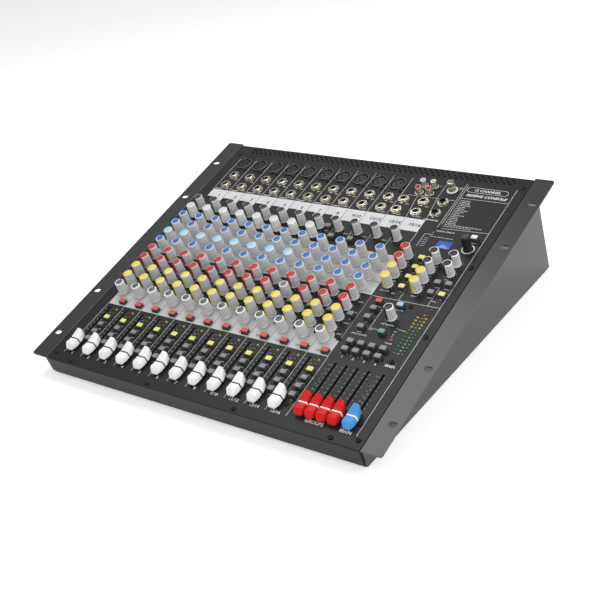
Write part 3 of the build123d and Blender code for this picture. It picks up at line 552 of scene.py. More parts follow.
def sheet(x0: float, y0: float, x1: float, y1: float, windows: np.ndarray, tint: int = 0) -> Shape:
    """A printed area that leaves windows free.

    The area is cut into a grid along every window edge, and the cells in windows are dropped.

    Args:
        x0: left.
        y0: front.
        x1: right.
        y1: rear.
        windows: (n, 4) rows of x0, y0, x1, y1.
        tint: finish index.

    Returns:
        The shape.
    """
    windows = np.asarray(windows, float).reshape(-1, 4)
    xs = np.unique(np.clip(np.concatenate((windows[:, 0], windows[:, 2], (x0, x1))), x0, x1))
    ys = np.unique(np.clip(np.concatenate((windows[:, 1], windows[:, 3], (y0, y1))), y0, y1))
    left, front = [g.ravel() for g in np.meshgrid(xs[:-1], ys[:-1])]
    right, back = [g.ravel() for g in np.meshgrid(xs[1:], ys[1:])]
    mid_x, mid_y = (left + right)[:, None] / 2, (front + back)[:, None] / 2
    within_x = (mid_x > windows[:, 0]) & (mid_x < windows[:, 2])
    within_y = (mid_y > windows[:, 1]) & (mid_y < windows[:, 3])
    free = ~(within_x & within_y).any(1)
    return rectangles(np.column_stack((left, front, right, back))[free], tint)


def sector(x: float, y: float, inner: float, outer: float, start: float, end: float, tint: int = 0,
           lift: float = PRINT_LIFT) -> Shape:
    """Flat printed arc.

    Args:
        x: centre across.
        y: centre up the slope.
        inner: inner radius.
        outer: outer radius.
        start: first angle, degrees anticlockwise from +X.
        end: last angle.
        tint: finish index.
        lift: height over the paint.

    Returns:
        The shape.
    """
    steps = max(4, int(abs(end - start) / 9))
    angle = np.radians(np.linspace(start, end, steps + 1))
    ring = [np.column_stack((x + r * np.cos(angle), y + r * np.sin(angle), np.full(steps + 1, lift)))
            for r in (inner, outer)]
    near = np.arange(steps)
    far = near + steps + 1
    return Shape(np.vstack(ring), np.column_stack((near, far, far + 1, near + 1)), np.full(steps, tint))


LETTERS: dict = {}


def lettering(text: str, bold: float = 0.0, shear: float = 0.0) -> Shape:
    """Flat letters one unit high, centred on the origin.

    Args:
        text: what to print.
        bold: how far the outline grows.
        shear: slant.

    Returns:
        The shape, cached by its arguments.
    """
    key = (text, bold, shear)
    if key not in LETTERS:
        curve = bpy.data.curves.new("letters", "FONT")
        curve.body = text
        curve.align_x = "CENTER"
        curve.align_y = "CENTER"
        curve.offset = bold
        curve.shear = shear
        curve.resolution_u = 2
        holder = bpy.data.objects.new("letters", curve)
        mesh = holder.to_mesh()
        mesh.calc_loop_triangles()
        verts = np.empty(len(mesh.vertices) * 3)
        mesh.vertices.foreach_get("co", verts)
        faces = np.empty(len(mesh.loop_triangles) * 3, np.int64)
        mesh.loop_triangles.foreach_get("vertices", faces)
        faces = np.column_stack((faces.reshape(-1, 3), np.full(len(faces) // 3, -1)))
        holder.to_mesh_clear()
        bpy.data.objects.remove(holder)
        bpy.data.curves.remove(curve)
        LETTERS[key] = Shape(verts.reshape(-1, 3), faces, np.zeros(len(faces), int))
    return LETTERS[key]


# ------------------------------------------------------------------ sub-assemblies
@dataclass
class Assembly:
    """Part of the console: knows the frame and puts finished pieces on CAD bodies."""

    frame: dict
    plate: Plate
    made: list = field(default_factory=list)

    def piece(self, name: str, shape: Shape, finishes: list, body: str, nodes: tuple = (),
              smooth: float = 40.0, plate: Plate = None) -> bpy.types.Object:
        """Makes one visible piece.

        Args:
            name: piece name.
            shape: its mesh on the plate.
            finishes: finishes that the shape's tints point to.
            body: CAD body it moves with.
            nodes: CAD nodes it stands for.
            smooth: angle in degrees up to which edges are shaded smooth.
            plate: frame the shape is drawn in, the control surface if left out.

        Returns:
            The object.
        """
        mesh = bpy.data.meshes.new(name)
        points = (plate or self.plate).to_shared(shape.verts)
        sizes = np.where(shape.faces[:, 3] < 0, 3, 4)
        corners = shape.faces.ravel()
        corners = corners[corners >= 0]
        mesh.vertices.add(len(points))
        mesh.vertices.foreach_set("co", points.ravel().astype(np.float32))
        mesh.loops.add(len(corners))
        mesh.loops.foreach_set("vertex_index", corners.astype(np.int32))
        mesh.polygons.add(len(sizes))
        starts = np.concatenate(([0], np.cumsum(sizes)[:-1]))
        mesh.polygons.foreach_set("loop_start", starts.astype(np.int32))
        mesh.polygons.foreach_set("material_index", shape.tints.astype(np.int32))
        mesh.polygons.foreach_set("use_smooth", np.ones(len(sizes), bool))
        mesh.update(calc_edges=True)
        mesh.validate()
        mesh.set_sharp_from_angle(angle=np.radians(smooth))
        for finish in finishes:
            mesh.materials.append(finish.build())
        piece = bpy.data.objects.new(name, mesh)
        bpy.context.scene.collection.objects.link(piece)
        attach(piece, body)
        if nodes:
            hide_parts(*nodes)
        self.made.append((name, len(mesh.polygons)))
        return piece

    def dress(self, finish: Finish, *nodes: str) -> None:
        """Gives CAD nodes a finish.

        Args:
            finish: the finish.
            nodes: node names.
        """
        for name in nodes:
            mesh = self.frame["nodes"][name].data
            mesh.materials.clear()
            mesh.materials.append(finish.build())
            self.made.append((name, len(mesh.polygons)))

    def places(self, *nodes: str) -> np.ndarray:
        """Centres of the controls in some nodes."""
        return np.vstack([places_of(self.frame["nodes"][n], self.plate) for n in nodes])


@dataclass
class Layout:
    """Lines that the printed panel is drawn from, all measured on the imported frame."""

    pitch: float
    fader: np.ndarray
    groups: np.ndarray
    main: float
    first: float
    rows: np.ndarray
    mutes: np.ndarray
    slot_low: float
    slot_high: float

    @classmethod
    def measure(cls, frame: dict, plate: Plate) -> "Layout":
        """Reads the layout from where the controls stand.

        Args:
            plate: the control surface.

        Returns:
            The layout.
        """
        nodes = frame["nodes"]
        fader = np.array([places_of(nodes["channel_fader_%02d" % (i + 1)], plate)[0]
                          for i in range(STRIPS)])
        groups = np.array([places_of(nodes["group_fader_%d" % (i + 1)], plate)[0] for i in range(GROUPS)])
        main = places_of(nodes["main_fader"], plate)[0]
        pitch = (fader[-1, 0] - fader[0, 0]) / (STRIPS - 1)
        gain = places_of(nodes["gain_knob_1"], plate)[0]
        pan = places_of(nodes["pan_knob_1"], plate)[0]
        slide = next(j for j in frame["joints"] if j["child"] == "channel_fader_01")
        low = fader[0, 1] + slide["range_m"][0] / MM
        high = fader[0, 1] + slide["range_m"][1] / MM
        rows = np.linspace(pan[1], gain[1], KNOB_ROWS)
        mutes = places_of(nodes["mute_buttons"], plate)
        return cls(pitch, fader[:, 0], groups[:, 0], main[0], fader[0, 0] - 7.9, rows, mutes, low, high)

    def left(self, strip: int) -> float:
        """Left edge of a strip."""
        return self.first + strip * self.pitch


@dataclass
class Case(Assembly):
    """Sheet metal, screws and everything inside it."""

    panel_low: float = -4.0       # panel screws end above this, from the face
    foot_high: float = 2.0        # foot screws start below this, from the ground
    panel_head: float = 0.57      # height of a panel screw's head, as a share of its radius
    foot_head: float = 1.6

    def build(self) -> None:
        """Dresses the CAD pieces and makes the screws."""
        self.dress(POWDER, "top_panel", "bottom_plate", "rear_panel")
        # The side plates and ears take the lighter copy of the powder coat: partly painted sheen.
        self.dress(EAR_SHEEN_COAT, "side_plate_left", "side_plate_right")
        self.dress(STEEL, "support_frame", "potentiometers")
        self.dress(MASK, "circuit_boards", "power_board")
        self.dress(COPPER_TAPE, "mains_transformer")
        self.dress(RUBBER, "rubber_feet")
        self.dress(BLACK, "switch_bodies", "fader_tracks")
        self.screws()

    def screws(self) -> None:
        """Pan heads with a cross recess on their shanks, at every CAD screw."""
        node = self.frame["nodes"]["case_screws"]
        ground = Plate(np.zeros(3), np.eye(3))
        panel = islands(node, self.plate)
        panel = panel[panel[:, 3] > self.panel_low]
        feet = islands(node, ground)
        feet = feet[feet[:, 2] < self.foot_high]
        shapes = [screw(x, y, low, high, w, self.panel_head * w / 2) for x, y, low, high, w, _ in panel]
        self.piece("case_screws_look", join(shapes), [SCREW], "console", ("case_screws",), 50.0)
        shapes = [screw(x, y, low, high, w, self.foot_head) for x, y, low, high, w, _ in feet]
        self.piece("foot_screws_look", join(shapes), [SCREW], "console", ("case_screws",), 50.0, ground)


def screw(x: float, y: float, low: float, high: float, width: float, head: float) -> Shape:
    """A screw's head and shank.

    Args:
        x: across.
        y: up the slope.
        low: end of the shank.
        high: top of the head.
        width: of the head.
        head: its height.

    Returns:
        The shape.
    """
    seat = high - head
    shank = lathe([(SHANK, low), (SHANK, seat)], 12)
    return join([screw_head(width / 2, head).moved(x, y, seat), shank.moved(x, y)])


def screw_head(radius: float, height: float) -> Shape:
    """Domed head with a cross recess.

    The height falls with the square of the radius, and a recess goes down by 0.55 of the
    height where the distance from either centre line, to the fourth power, is small.

    Args:
        radius: of the head.
        height: over its seat.

    Returns:
        The shape, seated on Z = 0.
    """
    share = np.array((1.0, 1.0, 0.97, 0.88, 0.72, 0.6, 0.5, 0.38, 0.26, 0.14))
    angle = np.arange(32) * 2 * np.pi / 32
    x = radius * share[:, None] * np.cos(angle)
    y = radius * share[:, None] * np.sin(angle)
    dome = height * (1 - 0.32 * share[:, None] ** 2) * np.ones_like(x)
    arm = 0.17 * radius
    bar = np.exp(-(x / arm) ** 4) * (np.abs(y) < 0.6 * radius)
    cross = np.maximum(bar, np.exp(-(y / arm) ** 4) * (np.abs(x) < 0.6 * radius))
    z = dome - 0.55 * height * cross
    z[0] = 0.0
    z[1] = height * 0.45
    return loft(np.stack((x, y, z), -1))


@dataclass(frozen=True)
class KnobStyle:
    """Colours and pointer of one kind of knob."""

    body: Finish
    rim: Finish
    insert: Finish
    turn: float
    disc: float
    tail: float
    stripe: bool
    # Finish of the groove floors: painted shade, darker than the body.
    groove: Finish = KNOB_GROOVE_SHADE

    def finishes(self) -> list:
        """The finishes in the order of KnobTint."""
        return [self.body, self.rim, self.insert, self.groove]


class Knob(Enum):
    """The kinds of knob on the console."""

    GAIN = KnobStyle(KNOB_GREY, KNOB_RIM, INSERT_BLACK, SEVEN_O_CLOCK, 4.6, 2.6, True)
    COMP = KnobStyle(KNOB_WHITE, KNOB_WHITE, KNOB_RIM, SEVEN_O_CLOCK, 4.2, 1.2, True, PALE_GROOVE_SHADE)
    BLUE = KnobStyle(KNOB_GREY, KNOB_RIM, INSERT_BLUE, 0.0, 4.1, 1.3, False)
    SKY = KnobStyle(KNOB_GREY, KNOB_WHITE, INSERT_SKY, SEVEN_O_CLOCK, 4.9, 1.5, True)
    RED = KnobStyle(KNOB_GREY, KNOB_RIM, INSERT_RED, SEVEN_O_CLOCK, 4.6, 3.0, True)
    YELLOW = KnobStyle(KNOB_GREY, KNOB_RIM, INSERT_YELLOW, SEVEN_O_CLOCK, 5.0, 2.8, True)
    PAN = KnobStyle(KNOB_GREY, KNOB_WHITE, CROWN_GREY, 0.0, 4.0, 1.2, False)
    PLAIN = KnobStyle(KNOB_GREY, KNOB_RIM, CROWN_BROWN, 0.0, 3.6, 1.0, False)
    DARK = KnobStyle(KNOB_GREY, KNOB_WHITE, INSERT_BLACK, SEVEN_O_CLOCK, 4.4, 2.6, True)


class KnobTint(IntEnum):
    """Order of the finishes on a knob."""

    BODY = 0
    RIM = 1
    INSERT = 2
    # Painted shade on the floors of the rib grooves.
    GROOVE = 3


@dataclass
class Knobs(Assembly):
    """Every turning cap."""

    height: float = 18.0
    base: float = 6.2
    top: float = 5.7

    def build(self) -> None:
        """Makes the caps of every kind and puts them over the CAD knobs."""
        kinds = {"gain": Knob.GAIN, "comp": Knob.COMP, "eq": Knob.BLUE, "effect": Knob.YELLOW,
                 "pan": Knob.PAN}
        for kind, knob in kinds.items():
            self.bank(kind + "_knobs", knob, "console")
            self.bank(kind + "_knob_1", knob, kind + "_knob_1")
        self.bank("eq_sweep_knobs", Knob.SKY, "console")
        self.bank("aux_knob_1", Knob.RED, "aux_knob_1")
        self.bank("phones_knob", Knob.DARK, "phones_knob")
        aux = self.places("aux_knobs")
        odd = (np.abs(aux[:, 0] - 25.8) < 8) & (aux[:, 1] < aux[:, 1].mean())
        self.spread("aux_knobs", {Knob.RED: aux[~odd], Knob.PLAIN: aux[odd]})
        main = self.places("master_knobs")
        rear = main[:, 1] > 240
        left = main[:, 0] < 145
        self.spread("master_knobs", {Knob.RED: main[rear & left], Knob.DARK: main[rear & ~left],
                                     Knob.YELLOW: main[~rear]})
        self.encoder()

    def cap(self, style: KnobStyle) -> Shape:
        """One ribbed cap with its coloured insert, pointer straight up the slope.

        Args:
            style: colours and pointer.

        Returns:
            The shape.
        """
        h, b, t = self.height, self.base, self.top
        profile = [(b - 0.3, KNOB_CLEAR), (b, KNOB_CLEAR + 0.2), (b, 1.9), (b - 0.22, 2.3), (b - 0.25, 3.0),
                   (b - 0.33, 7.0), (b - 0.41, 11.5), (t + 0.02, h - 2.2), (t, h - 1.5), (t - 0.1, h - 0.7),
                   (t - 0.35, h - 0.3), (t - 0.75, h - 0.18), (t - 1.1, h - 0.38)]
        depth = [0, 0, 0, 0.05, 0.8, 0.82, 0.82, 0.8, 0.2, 0, 0, 0, 0]
        bands = np.repeat([[KnobTint.BODY]] * 8 + [[KnobTint.RIM]] * 4, KNOB_POINTS, 1)
        # The floor face of each rib groove gets the darker finish: painted shade.
        groove_shade_faces = np.arange(KNOB_POINTS) % RIB_POINTS == RIB_POINTS // 2
        bands[3:7] = np.where(groove_shade_faces, KnobTint.GROOVE, KnobTint.BODY)
        body = lathe(profile, KNOB_POINTS, bands, KNOB_RIBS, depth)
        disc = lathe([(style.disc, h - 0.5), (style.disc, h - 0.16), (style.disc - 0.2, h - 0.05)], 32)
        length = t - 0.2
        tail = stack([(h - 0.6, 2 * style.tail, length, 0.3), (h - 0.12, 2 * style.tail, length, 0.3),
                      (h - 0.04, 2 * style.tail - 0.3, length - 0.2, 0.25)], 0, 2).moved(0, length / 2)
        parts = [body, disc.tinted(KnobTint.INSERT), tail.tinted(KnobTint.INSERT)]
        if style.stripe:
            parts.append(self.stripe(style.tail).tinted(KnobTint.INSERT))
        return join(parts)

    def stripe(self, half: float) -> Shape:
        """The pointer's run down the flank, a curved bar a hair proud of the ribs.

        Args:
            half: half of its width.

        Returns:
            The shape.
        """
        h, b, t = self.height, self.base, self.top
        level = np.array((1.0, 2.2, 7.0, 11.5, h - 1.5, h - 0.6, h - 0.1))
        outer = np.array((b, b - 0.12, b - 0.27, b - 0.36, t + 0.05, t - 0.05, t - 0.4))
        spread = np.linspace(-1, 1, 7) * half / t
        angle = np.pi / 2 + np.concatenate((spread, spread[::-1]))
        reach = outer[:, None] - np.concatenate((np.zeros(7), np.full(7, 0.7)))
        height = np.broadcast_to(level[:, None], reach.shape)
        return loft(np.stack((reach * np.cos(angle), reach * np.sin(angle), height), -1))

    def spread(self, node: str, groups: dict) -> None:
        """Caps of several kinds that share one CAD node, as one piece.

        Args:
            node: CAD node.
            groups: places of each kind.
        """
        finishes, parts = [], []
        for knob, places in groups.items():
            style = knob.value
            shape = copies(self.cap(style), places, style.turn)
            shape.tints = shape.tints + len(finishes)
            parts.append(shape)
            finishes += style.finishes()
        self.piece(node + "_look", join(parts), finishes, "console", (node,), 30.0)

    def bank(self, node: str, knob: Knob, body: str) -> None:
        """Caps of one kind over one CAD node.

        Args:
            node: CAD node.
            knob: kind.
            body: CAD body.
        """
        style = knob.value
        shape = copies(self.cap(style), self.places(node), style.turn)
        self.piece(node + "_look", shape, style.finishes(), body, (node,), 30.0)

    def encoder(self) -> None:
        """Tall black data knob with fine ribs and a dished grey crown."""
        profile = [(5.0, KNOB_CLEAR), (5.2, 1.2), (5.2, 2.2), (5.1, 2.6), (5.1, 10.0), (5.05, 17.6),
                   (5.0, 18.6), (4.7, 19.3), (4.2, 19.45), (3.9, 19.2)]
        shape = lathe(profile, 96, [0] * 7 + [1] * 2, 32, [0, 0, 0, 0.22, 0.25, 0.25, 0.05, 0, 0, 0])
        self.piece("data_encoder_look", copies(shape, self.places("data_encoder")),
                   [INSERT_BLACK, BUTTON_BASE], "data_encoder", ("data_encoder",))


@dataclass
class Faders(Assembly):
    """The seventeen sliding caps with their levers."""

    half: float = 13.2            # of the cap's length
    foot: float = 2.4             # its lower edge over the face
    line: float = 0.81            # half of the line across it
    ribs: tuple = (2.0, 10.6)     # where the ribs start and end
    rib_pitch: float = 1.72
    rib_depth: float = 0.14

    def build(self) -> None:
        """Makes each cap on its own body."""
        for index in range(STRIPS):
            self.fader("channel_fader_%02d" % (index + 1), FADER_WHITE, INSERT_BLACK)
        for index in range(GROUPS):
            self.fader("group_fader_%d" % (index + 1), FADER_RED, FADER_WHITE)
        self.fader("main_fader", FADER_BLUE, FADER_WHITE)

    def fader(self, name: str, body: Finish, line: Finish) -> None:
        """One cap.

        Args:
            name: CAD node and body.
            body: finish of the cap.
            line: finish of the line across it.
        """
        x, y = self.places(name)[0]
        lever = stack([(-6.4, 1.15, 3.9, 0.2), (4.0, 1.15, 3.9, 0.2)], 2, 2)
        shape = join([self.cap(), lever]).moved(x, y)
        self.piece(name + "_look", shape, [body, line, STEEL], name, (name,), 28.0)

    def cap(self) -> Shape:
        """Boat-shaped finger grip, lofted along its length.

        At each station the side view gives the top.  The half-width at a height is the lesser
        of the plan's and of a section that leans in from the foot to a narrow ridge.  Behind
        the line the top is ribbed by a depth times (1 - cos) of the distance; the line is sunk.

        Returns:
            The shape.
        """
        half, foot = self.half, self.foot
        marks = (-0.82, -0.8, 0.8, 0.82, -half + 0.2, -9.0, -8.6, -8.2, 11.2, 11.7, 12.3, half - 0.2)
        y = np.unique(np.concatenate((np.linspace(-half, half, 67), marks)))
        plan = np.interp(y, (-half, -half + 0.2, -9.6, -6.6, 4.0, 11.9, half - 0.2, half),
                         (3.3, 3.9, 5.5, 6.3, 6.35, 3.8, 2.2, 1.8))
        top = np.interp(y, (-half, -half + 0.2, -9.0, -8.4, -3.5, 0.0, 4.0, 11.2, 11.7, 12.3, half),
                        (4.1, 4.9, 9.9, 10.15, 9.4, 9.1, 10.3, 14.2, 14.45, 13.2, 10.3))
        start, end = self.ribs
        ribs = (y > start) & (y < end)
        top = top - ribs * self.rib_depth * (1 - np.cos((y - start) * 2 * np.pi / self.rib_pitch))
        top = top - 0.12 * (np.abs(y) < self.line)
        share = np.array((0.0, 0.05, 0.28, 0.5, 0.75, 1.0))
        z = foot + share * (top[:, None] - 0.4 - foot)
        z = np.hstack((z, top[:, None] - 0.12, top[:, None]))
        side = np.interp(z, (foot, 4.3, 10.1, 14.6), (6.35, 6.35, 4.9, 1.5))
        side = np.minimum(side, plan[:, None])
        side[:, 0] -= 0.25
        side[:, -2] -= 0.16
        side[:, -1] -= 0.5
        side = np.maximum(side, 0.5)
        along = np.broadcast_to(y[:, None], side.shape)
        left = np.stack((-side, along, z), -1)
        right = np.stack((side, along, z), -1)[:, ::-1]
        bands = (np.abs((y[1:] + y[:-1]) / 2) < self.line).astype(int)
        return loft(np.concatenate((left, right), 1), bands)


@dataclass
class Buttons(Assembly):
    """Push buttons: a dark foot and a lighter stepped cap."""

    mute_width: float = 9.0
    mute_proud: float = 4.8
    width: float = 7.8
    proud: float = 5.8

    def build(self) -> None:
        """Makes the three groups that press together in the frame."""
        self.group("mute_buttons", self.mute_width, self.mute_proud, lambda x, y: BUTTON_RED)
        self.group("assign_buttons", self.width, self.proud, lambda x, y: BUTTON_YELLOW)
        odd = {(137.2, 187.8): BUTTON_RED, (163.2, 188.3): BUTTON_SKY, (162.9, 146.3): BUTTON_TEAL,
               (194.7, 308.8): BUTTON_WHITE}
        self.group("route_buttons", self.width, self.proud, lambda x, y: next(
            (f for (px, py), f in odd.items() if abs(px - x) + abs(py - y) < NEAR), BUTTON_GREY))

    def group(self, node: str, width: float, proud: float, colour: object) -> None:
        """All buttons of one CAD node.

        Args:
            node: CAD node and body.
            width: of the cap across the panel.
            proud: height over the panel.
            colour: gives a finish for a place.
        """
        places = self.places(node)
        found = [colour(x, y) for x, y in places]
        finishes = sorted(set(found), key=lambda f: f.name)
        parts = []
        for index, finish in enumerate(finishes):
            mine = places[[f is finish for f in found]]
            parts.append(copies(self.cap(width, proud, index + 1), mine))
        self.piece(node + "_look", join(parts), [BUTTON_BASE] + finishes, node, (node,), 30.0)

    @staticmethod
    def cap(width: float, proud: float, tint: int) -> Shape:
        """One button: a dark foot with a coloured cap that overhangs a groove.

        Args:
            width: across the panel.
            proud: height over the panel.
            tint: finish index of the cap.

        Returns:
            The shape.
        """
        levels = [(-4.0, width - 0.1, 6.1, 0.6), (proud - 2.1, width - 0.1, 6.1, 0.6),
                  (proud - 1.9, width - 0.3, 5.9, 0.6), (proud - 1.85, width - 0.55, 5.65, 0.7),
                  (proud - 1.0, width - 0.6, 5.6, 0.7), (proud - 0.35, width - 0.65, 5.55, 0.7),
                  (proud - 0.1, width - 0.85, 5.35, 0.7), (proud, width - 1.2, 5.0, 0.7),
                  (proud - 0.1, width - 2.6, 3.6, 0.5)]
        return stack(levels, [0, 0, 0, 0] + [tint] * 4, 3)


def jack_lip(low: float) -> Shape:
    """Rounded mouth of a jack socket.

    Args:
        low: how far down its bore is drawn.

    Returns:
        The shape, open at both ends.
    """
    profile = [(4.55, 2.9), (4.55, 3.15), (4.1, 3.4), (3.5, 3.4), (3.35, 3.1), (3.35, low)]
    return lathe(profile, 32, caps=OPEN)


@dataclass
class Sockets(Assembly):
    """Microphone, jack, phono and lamp sockets."""

    def build(self) -> None:
        """Dresses the CAD sockets and details what the panel shows."""
        self.dress(GLOSS_BLACK, "mic_sockets")
        self.dress(NICKEL, "jack_sockets", "jack_nuts")
        self.mic_details()
        self.jack_details()
        self.phonos()
        self.lamp()

    def mic_details(self) -> None:
        """Release tab, bevelled ring, raised face and key of each microphone socket; the ring's lighter grey
        is a painted highlight on the black plastic.
        """
        tab = stack([(1.3, 5.2, 2.4, 0.5), (2.4, 4.6, 1.8, 0.4), (2.5, 3.6, 1.0, 0.3)], 0, 3).moved(0, 10.0)
        ring = lathe([(11.15, 1.3), (11.1, 1.75), (10.6, 2.1), (9.4, 2.1), (9.15, 1.9), (9.15, 1.3)], 48, 1,
                     caps=OPEN)
        face = lathe([(7.6, 1.3), (7.55, 1.5), (6.9, 1.55), (6.8, 1.3)], 40, caps=OPEN)
        key = stack([(1.35, 2.4, 1.8, 0.3), (1.5, 2.2, 1.6, 0.3)], 0, 2).moved(0, 6.1)
        shape = copies(join([tab, ring, face, key]), self.places("mic_sockets"))
        self.piece("mic_socket_rims", shape, [GLOSS_BLACK, RING_HIGHLIGHT], "console")

    def jack_details(self) -> None:
        """Chamfered washers under the nuts, and the dark liners of the headphone jacks."""
        found = self.places("jack_sockets")
        washer = lathe([(7.2, 0.02), (7.2, 0.35), (6.9, 0.5), (4.7, 0.5)], 40, caps=OPEN)
        lip = jack_lip(2.2)
        leaf = stack([(-6.0, 0.5, 2.0, 0.1), (0.6, 0.5, 2.0, 0.1)], 0, 2).moved(-2.4, 0)
        shape = copies(join([washer, lip, leaf]), found)
        phones = found[found[:, 0] > 122]
        liner = lathe([(4.3, 3.3), (4.3, 4.1), (3.9, 4.5), (3.3, 4.5), (3.15, 4.2), (3.15, -4.0)], 32, 1,
                      caps=OPEN)
        self.piece("jack_trims", join([shape, copies(liner, phones)]), [NICKEL, GLOSS_BLACK], "console")

    def phonos(self) -> None:
        """Nickel shells with white insulators behind and red in front."""
        found = self.places("phono_sockets")
        shell = lathe([(5.6, 0.0), (5.6, 0.7), (5.3, 1.0), (4.3, 1.05), (4.15, 1.3), (4.15, 8.7), (4.0, 9.0),
                       (3.5, 9.0), (3.35, 8.7), (3.3, 7.0)], 36, caps=OPEN)
        core = [(3.25, 6.5), (3.2, 8.75), (3.0, 8.95), (1.9, 8.95), (1.65, 8.7), (1.6, 3.0)]
        rear = found[:, 1] > found[:, 1].mean()
        parts = [copies(shell, found), copies(lathe(core, 30, 1, caps=(False, True)), found[rear]),
                 copies(lathe(core, 30, 2, caps=(False, True)), found[~rear])]
        self.piece("phono_sockets_look", join(parts), [NICKEL, PHONO_WHITE, PHONO_RED], "console",
                   ("phono_sockets",))

    def lamp(self) -> None:
        """Bayonet lamp socket with its studs and white washer."""
        place = self.places("lamp_socket")
        body = lathe([(4.75, -9.0), (4.75, 3.2), (4.6, 3.5), (4.6, 4.6), (4.8, 4.9), (4.8, 6.4), (4.45, 6.7),
                      (4.45, 12.2), (4.2, 12.8), (3.6, 13.0), (3.3, 12.7), (3.3, 2.0)], 40)
        collar = lathe([(4.82, 5.0), (5.0, 5.3), (5.0, 6.2), (4.82, 6.5)], 40, 2, caps=OPEN)
        washer = lathe([(6.9, 0.0), (6.9, 0.5), (6.6, 0.8), (4.9, 0.8)], 44, 1, caps=OPEN)
        core = lathe([(2.9, 2.2), (2.9, 9.5), (1.6, 9.8)], 24, 1)
        self.piece("lamp_socket_look", copies(join([body, collar, washer, core, self.studs()]), place[:1]),
                   [NICKEL, PHONO_WHITE, GOLD], "console", ("lamp_socket",))

    @staticmethod
    def studs() -> Shape:
        """Two bayonet studs across the barrel.

        Returns:
            A rod along X on each side.
        """
        rod = lathe([(0.9, 3.9), (0.9, 5.4), (0.7, 5.75)], 14)
        out = rod.verts[:, [2, 1, 0]] * (1, -1, 1)
        verts = np.vstack((out, out * (-1, -1, 1))) + (0, 0, 10.0)
        faces = np.vstack((rod.faces, np.where(rod.faces < 0, -1, rod.faces + len(out))))
        return Shape(verts, faces, np.concatenate((rod.tints, rod.tints)))


@dataclass
class Lamps(Assembly):
    """Signal, peak, meter and power lamps, and the display window."""

    strips_end: float = 122.0     # the strips' lamps stand left of this
    meter: tuple = (184.0, 120.0, 186.0)    # the meter's left, front and rear edges
    yellow: tuple = (0.62, 0.97)  # share of the meter's height where its lamps are yellow
    supply: tuple = (174.8, 157.3)
    power_width: float = 3.6      # the power lamp is wider than this

    def build(self) -> None:
        """Makes the domes by place and the display."""
        found = islands(self.frame["nodes"]["indicator_leds"], self.plate)
        x, y, width = found[:, 0], found[:, 1], found[:, 4]
        left, low, high = self.meter
        meter = (x > left) & (y > low) & (y < high)
        share = (y - y[meter].min()) / (y[meter].max() - y[meter].min())
        power = width > self.power_width
        strip = x < self.strips_end
        signal = strip & (y > y[strip].mean())
        supply = (np.abs(x - self.supply[0]) < NEAR) & (np.abs(y - self.supply[1]) < NEAR)
        start, end = self.yellow
        groups = {LENS_LIME: signal, LENS_GREEN: (meter & (share < start)) | supply,
                  LENS_YELLOW: meter & (share >= start) & (share < end), LENS_POWER: power}
        taken = np.any(list(groups.values()), 0)
        groups[LENS_RED] = ~taken
        parts = []
        for index, mask in enumerate(groups.values()):
            parts += [self.dome(w / 2, index).moved(a, b) for a, b, w in found[mask][:, [0, 1, 4]]]
        self.piece("indicator_leds_look", join(parts), list(groups), "console", ("indicator_leds",), 60.0)
        self.display()

    @staticmethod
    def dome(radius: float, tint: int) -> Shape:
        """Round lamp, a quarter ellipse over a straight barrel.

        Args:
            radius: of the lens.
            tint: finish index.

        Returns:
            The shape.
        """
        rise = np.radians((0, 22, 45, 68))
        profile = [(radius, -4.0)] + [(radius * np.cos(a), 0.35 + 0.95 * np.sin(a)) for a in rise]
        return lathe(profile, 16, tint)

    def display(self) -> None:
        """Blue window with a dark bevel round it."""
        x, y = islands(self.frame["nodes"]["display_window"], self.plate)[0, :2]
        pane = stack([(-1.5, 18.0, 12.4, 0.4), (0.14, 18.0, 12.4, 0.4), (0.2, 17.7, 12.1, 0.4)], 0, 3)
        body = stack([(-10.9, 22.0, 16.4, 0.5), (-1.6, 22.0, 16.4, 0.5)], 1, 3)
        shape = join([pane, body]).moved(x, y)
        self.piece("display_window_look", shape, [DISPLAY, BLACK], "console", ("display_window",))


class Ink(IntEnum):
    """Order of the inks in a print."""

    WHITE = 0
    GREY = 1
    LABEL = 2
    EQ = 3
    PAN = 4
    DARK = 5


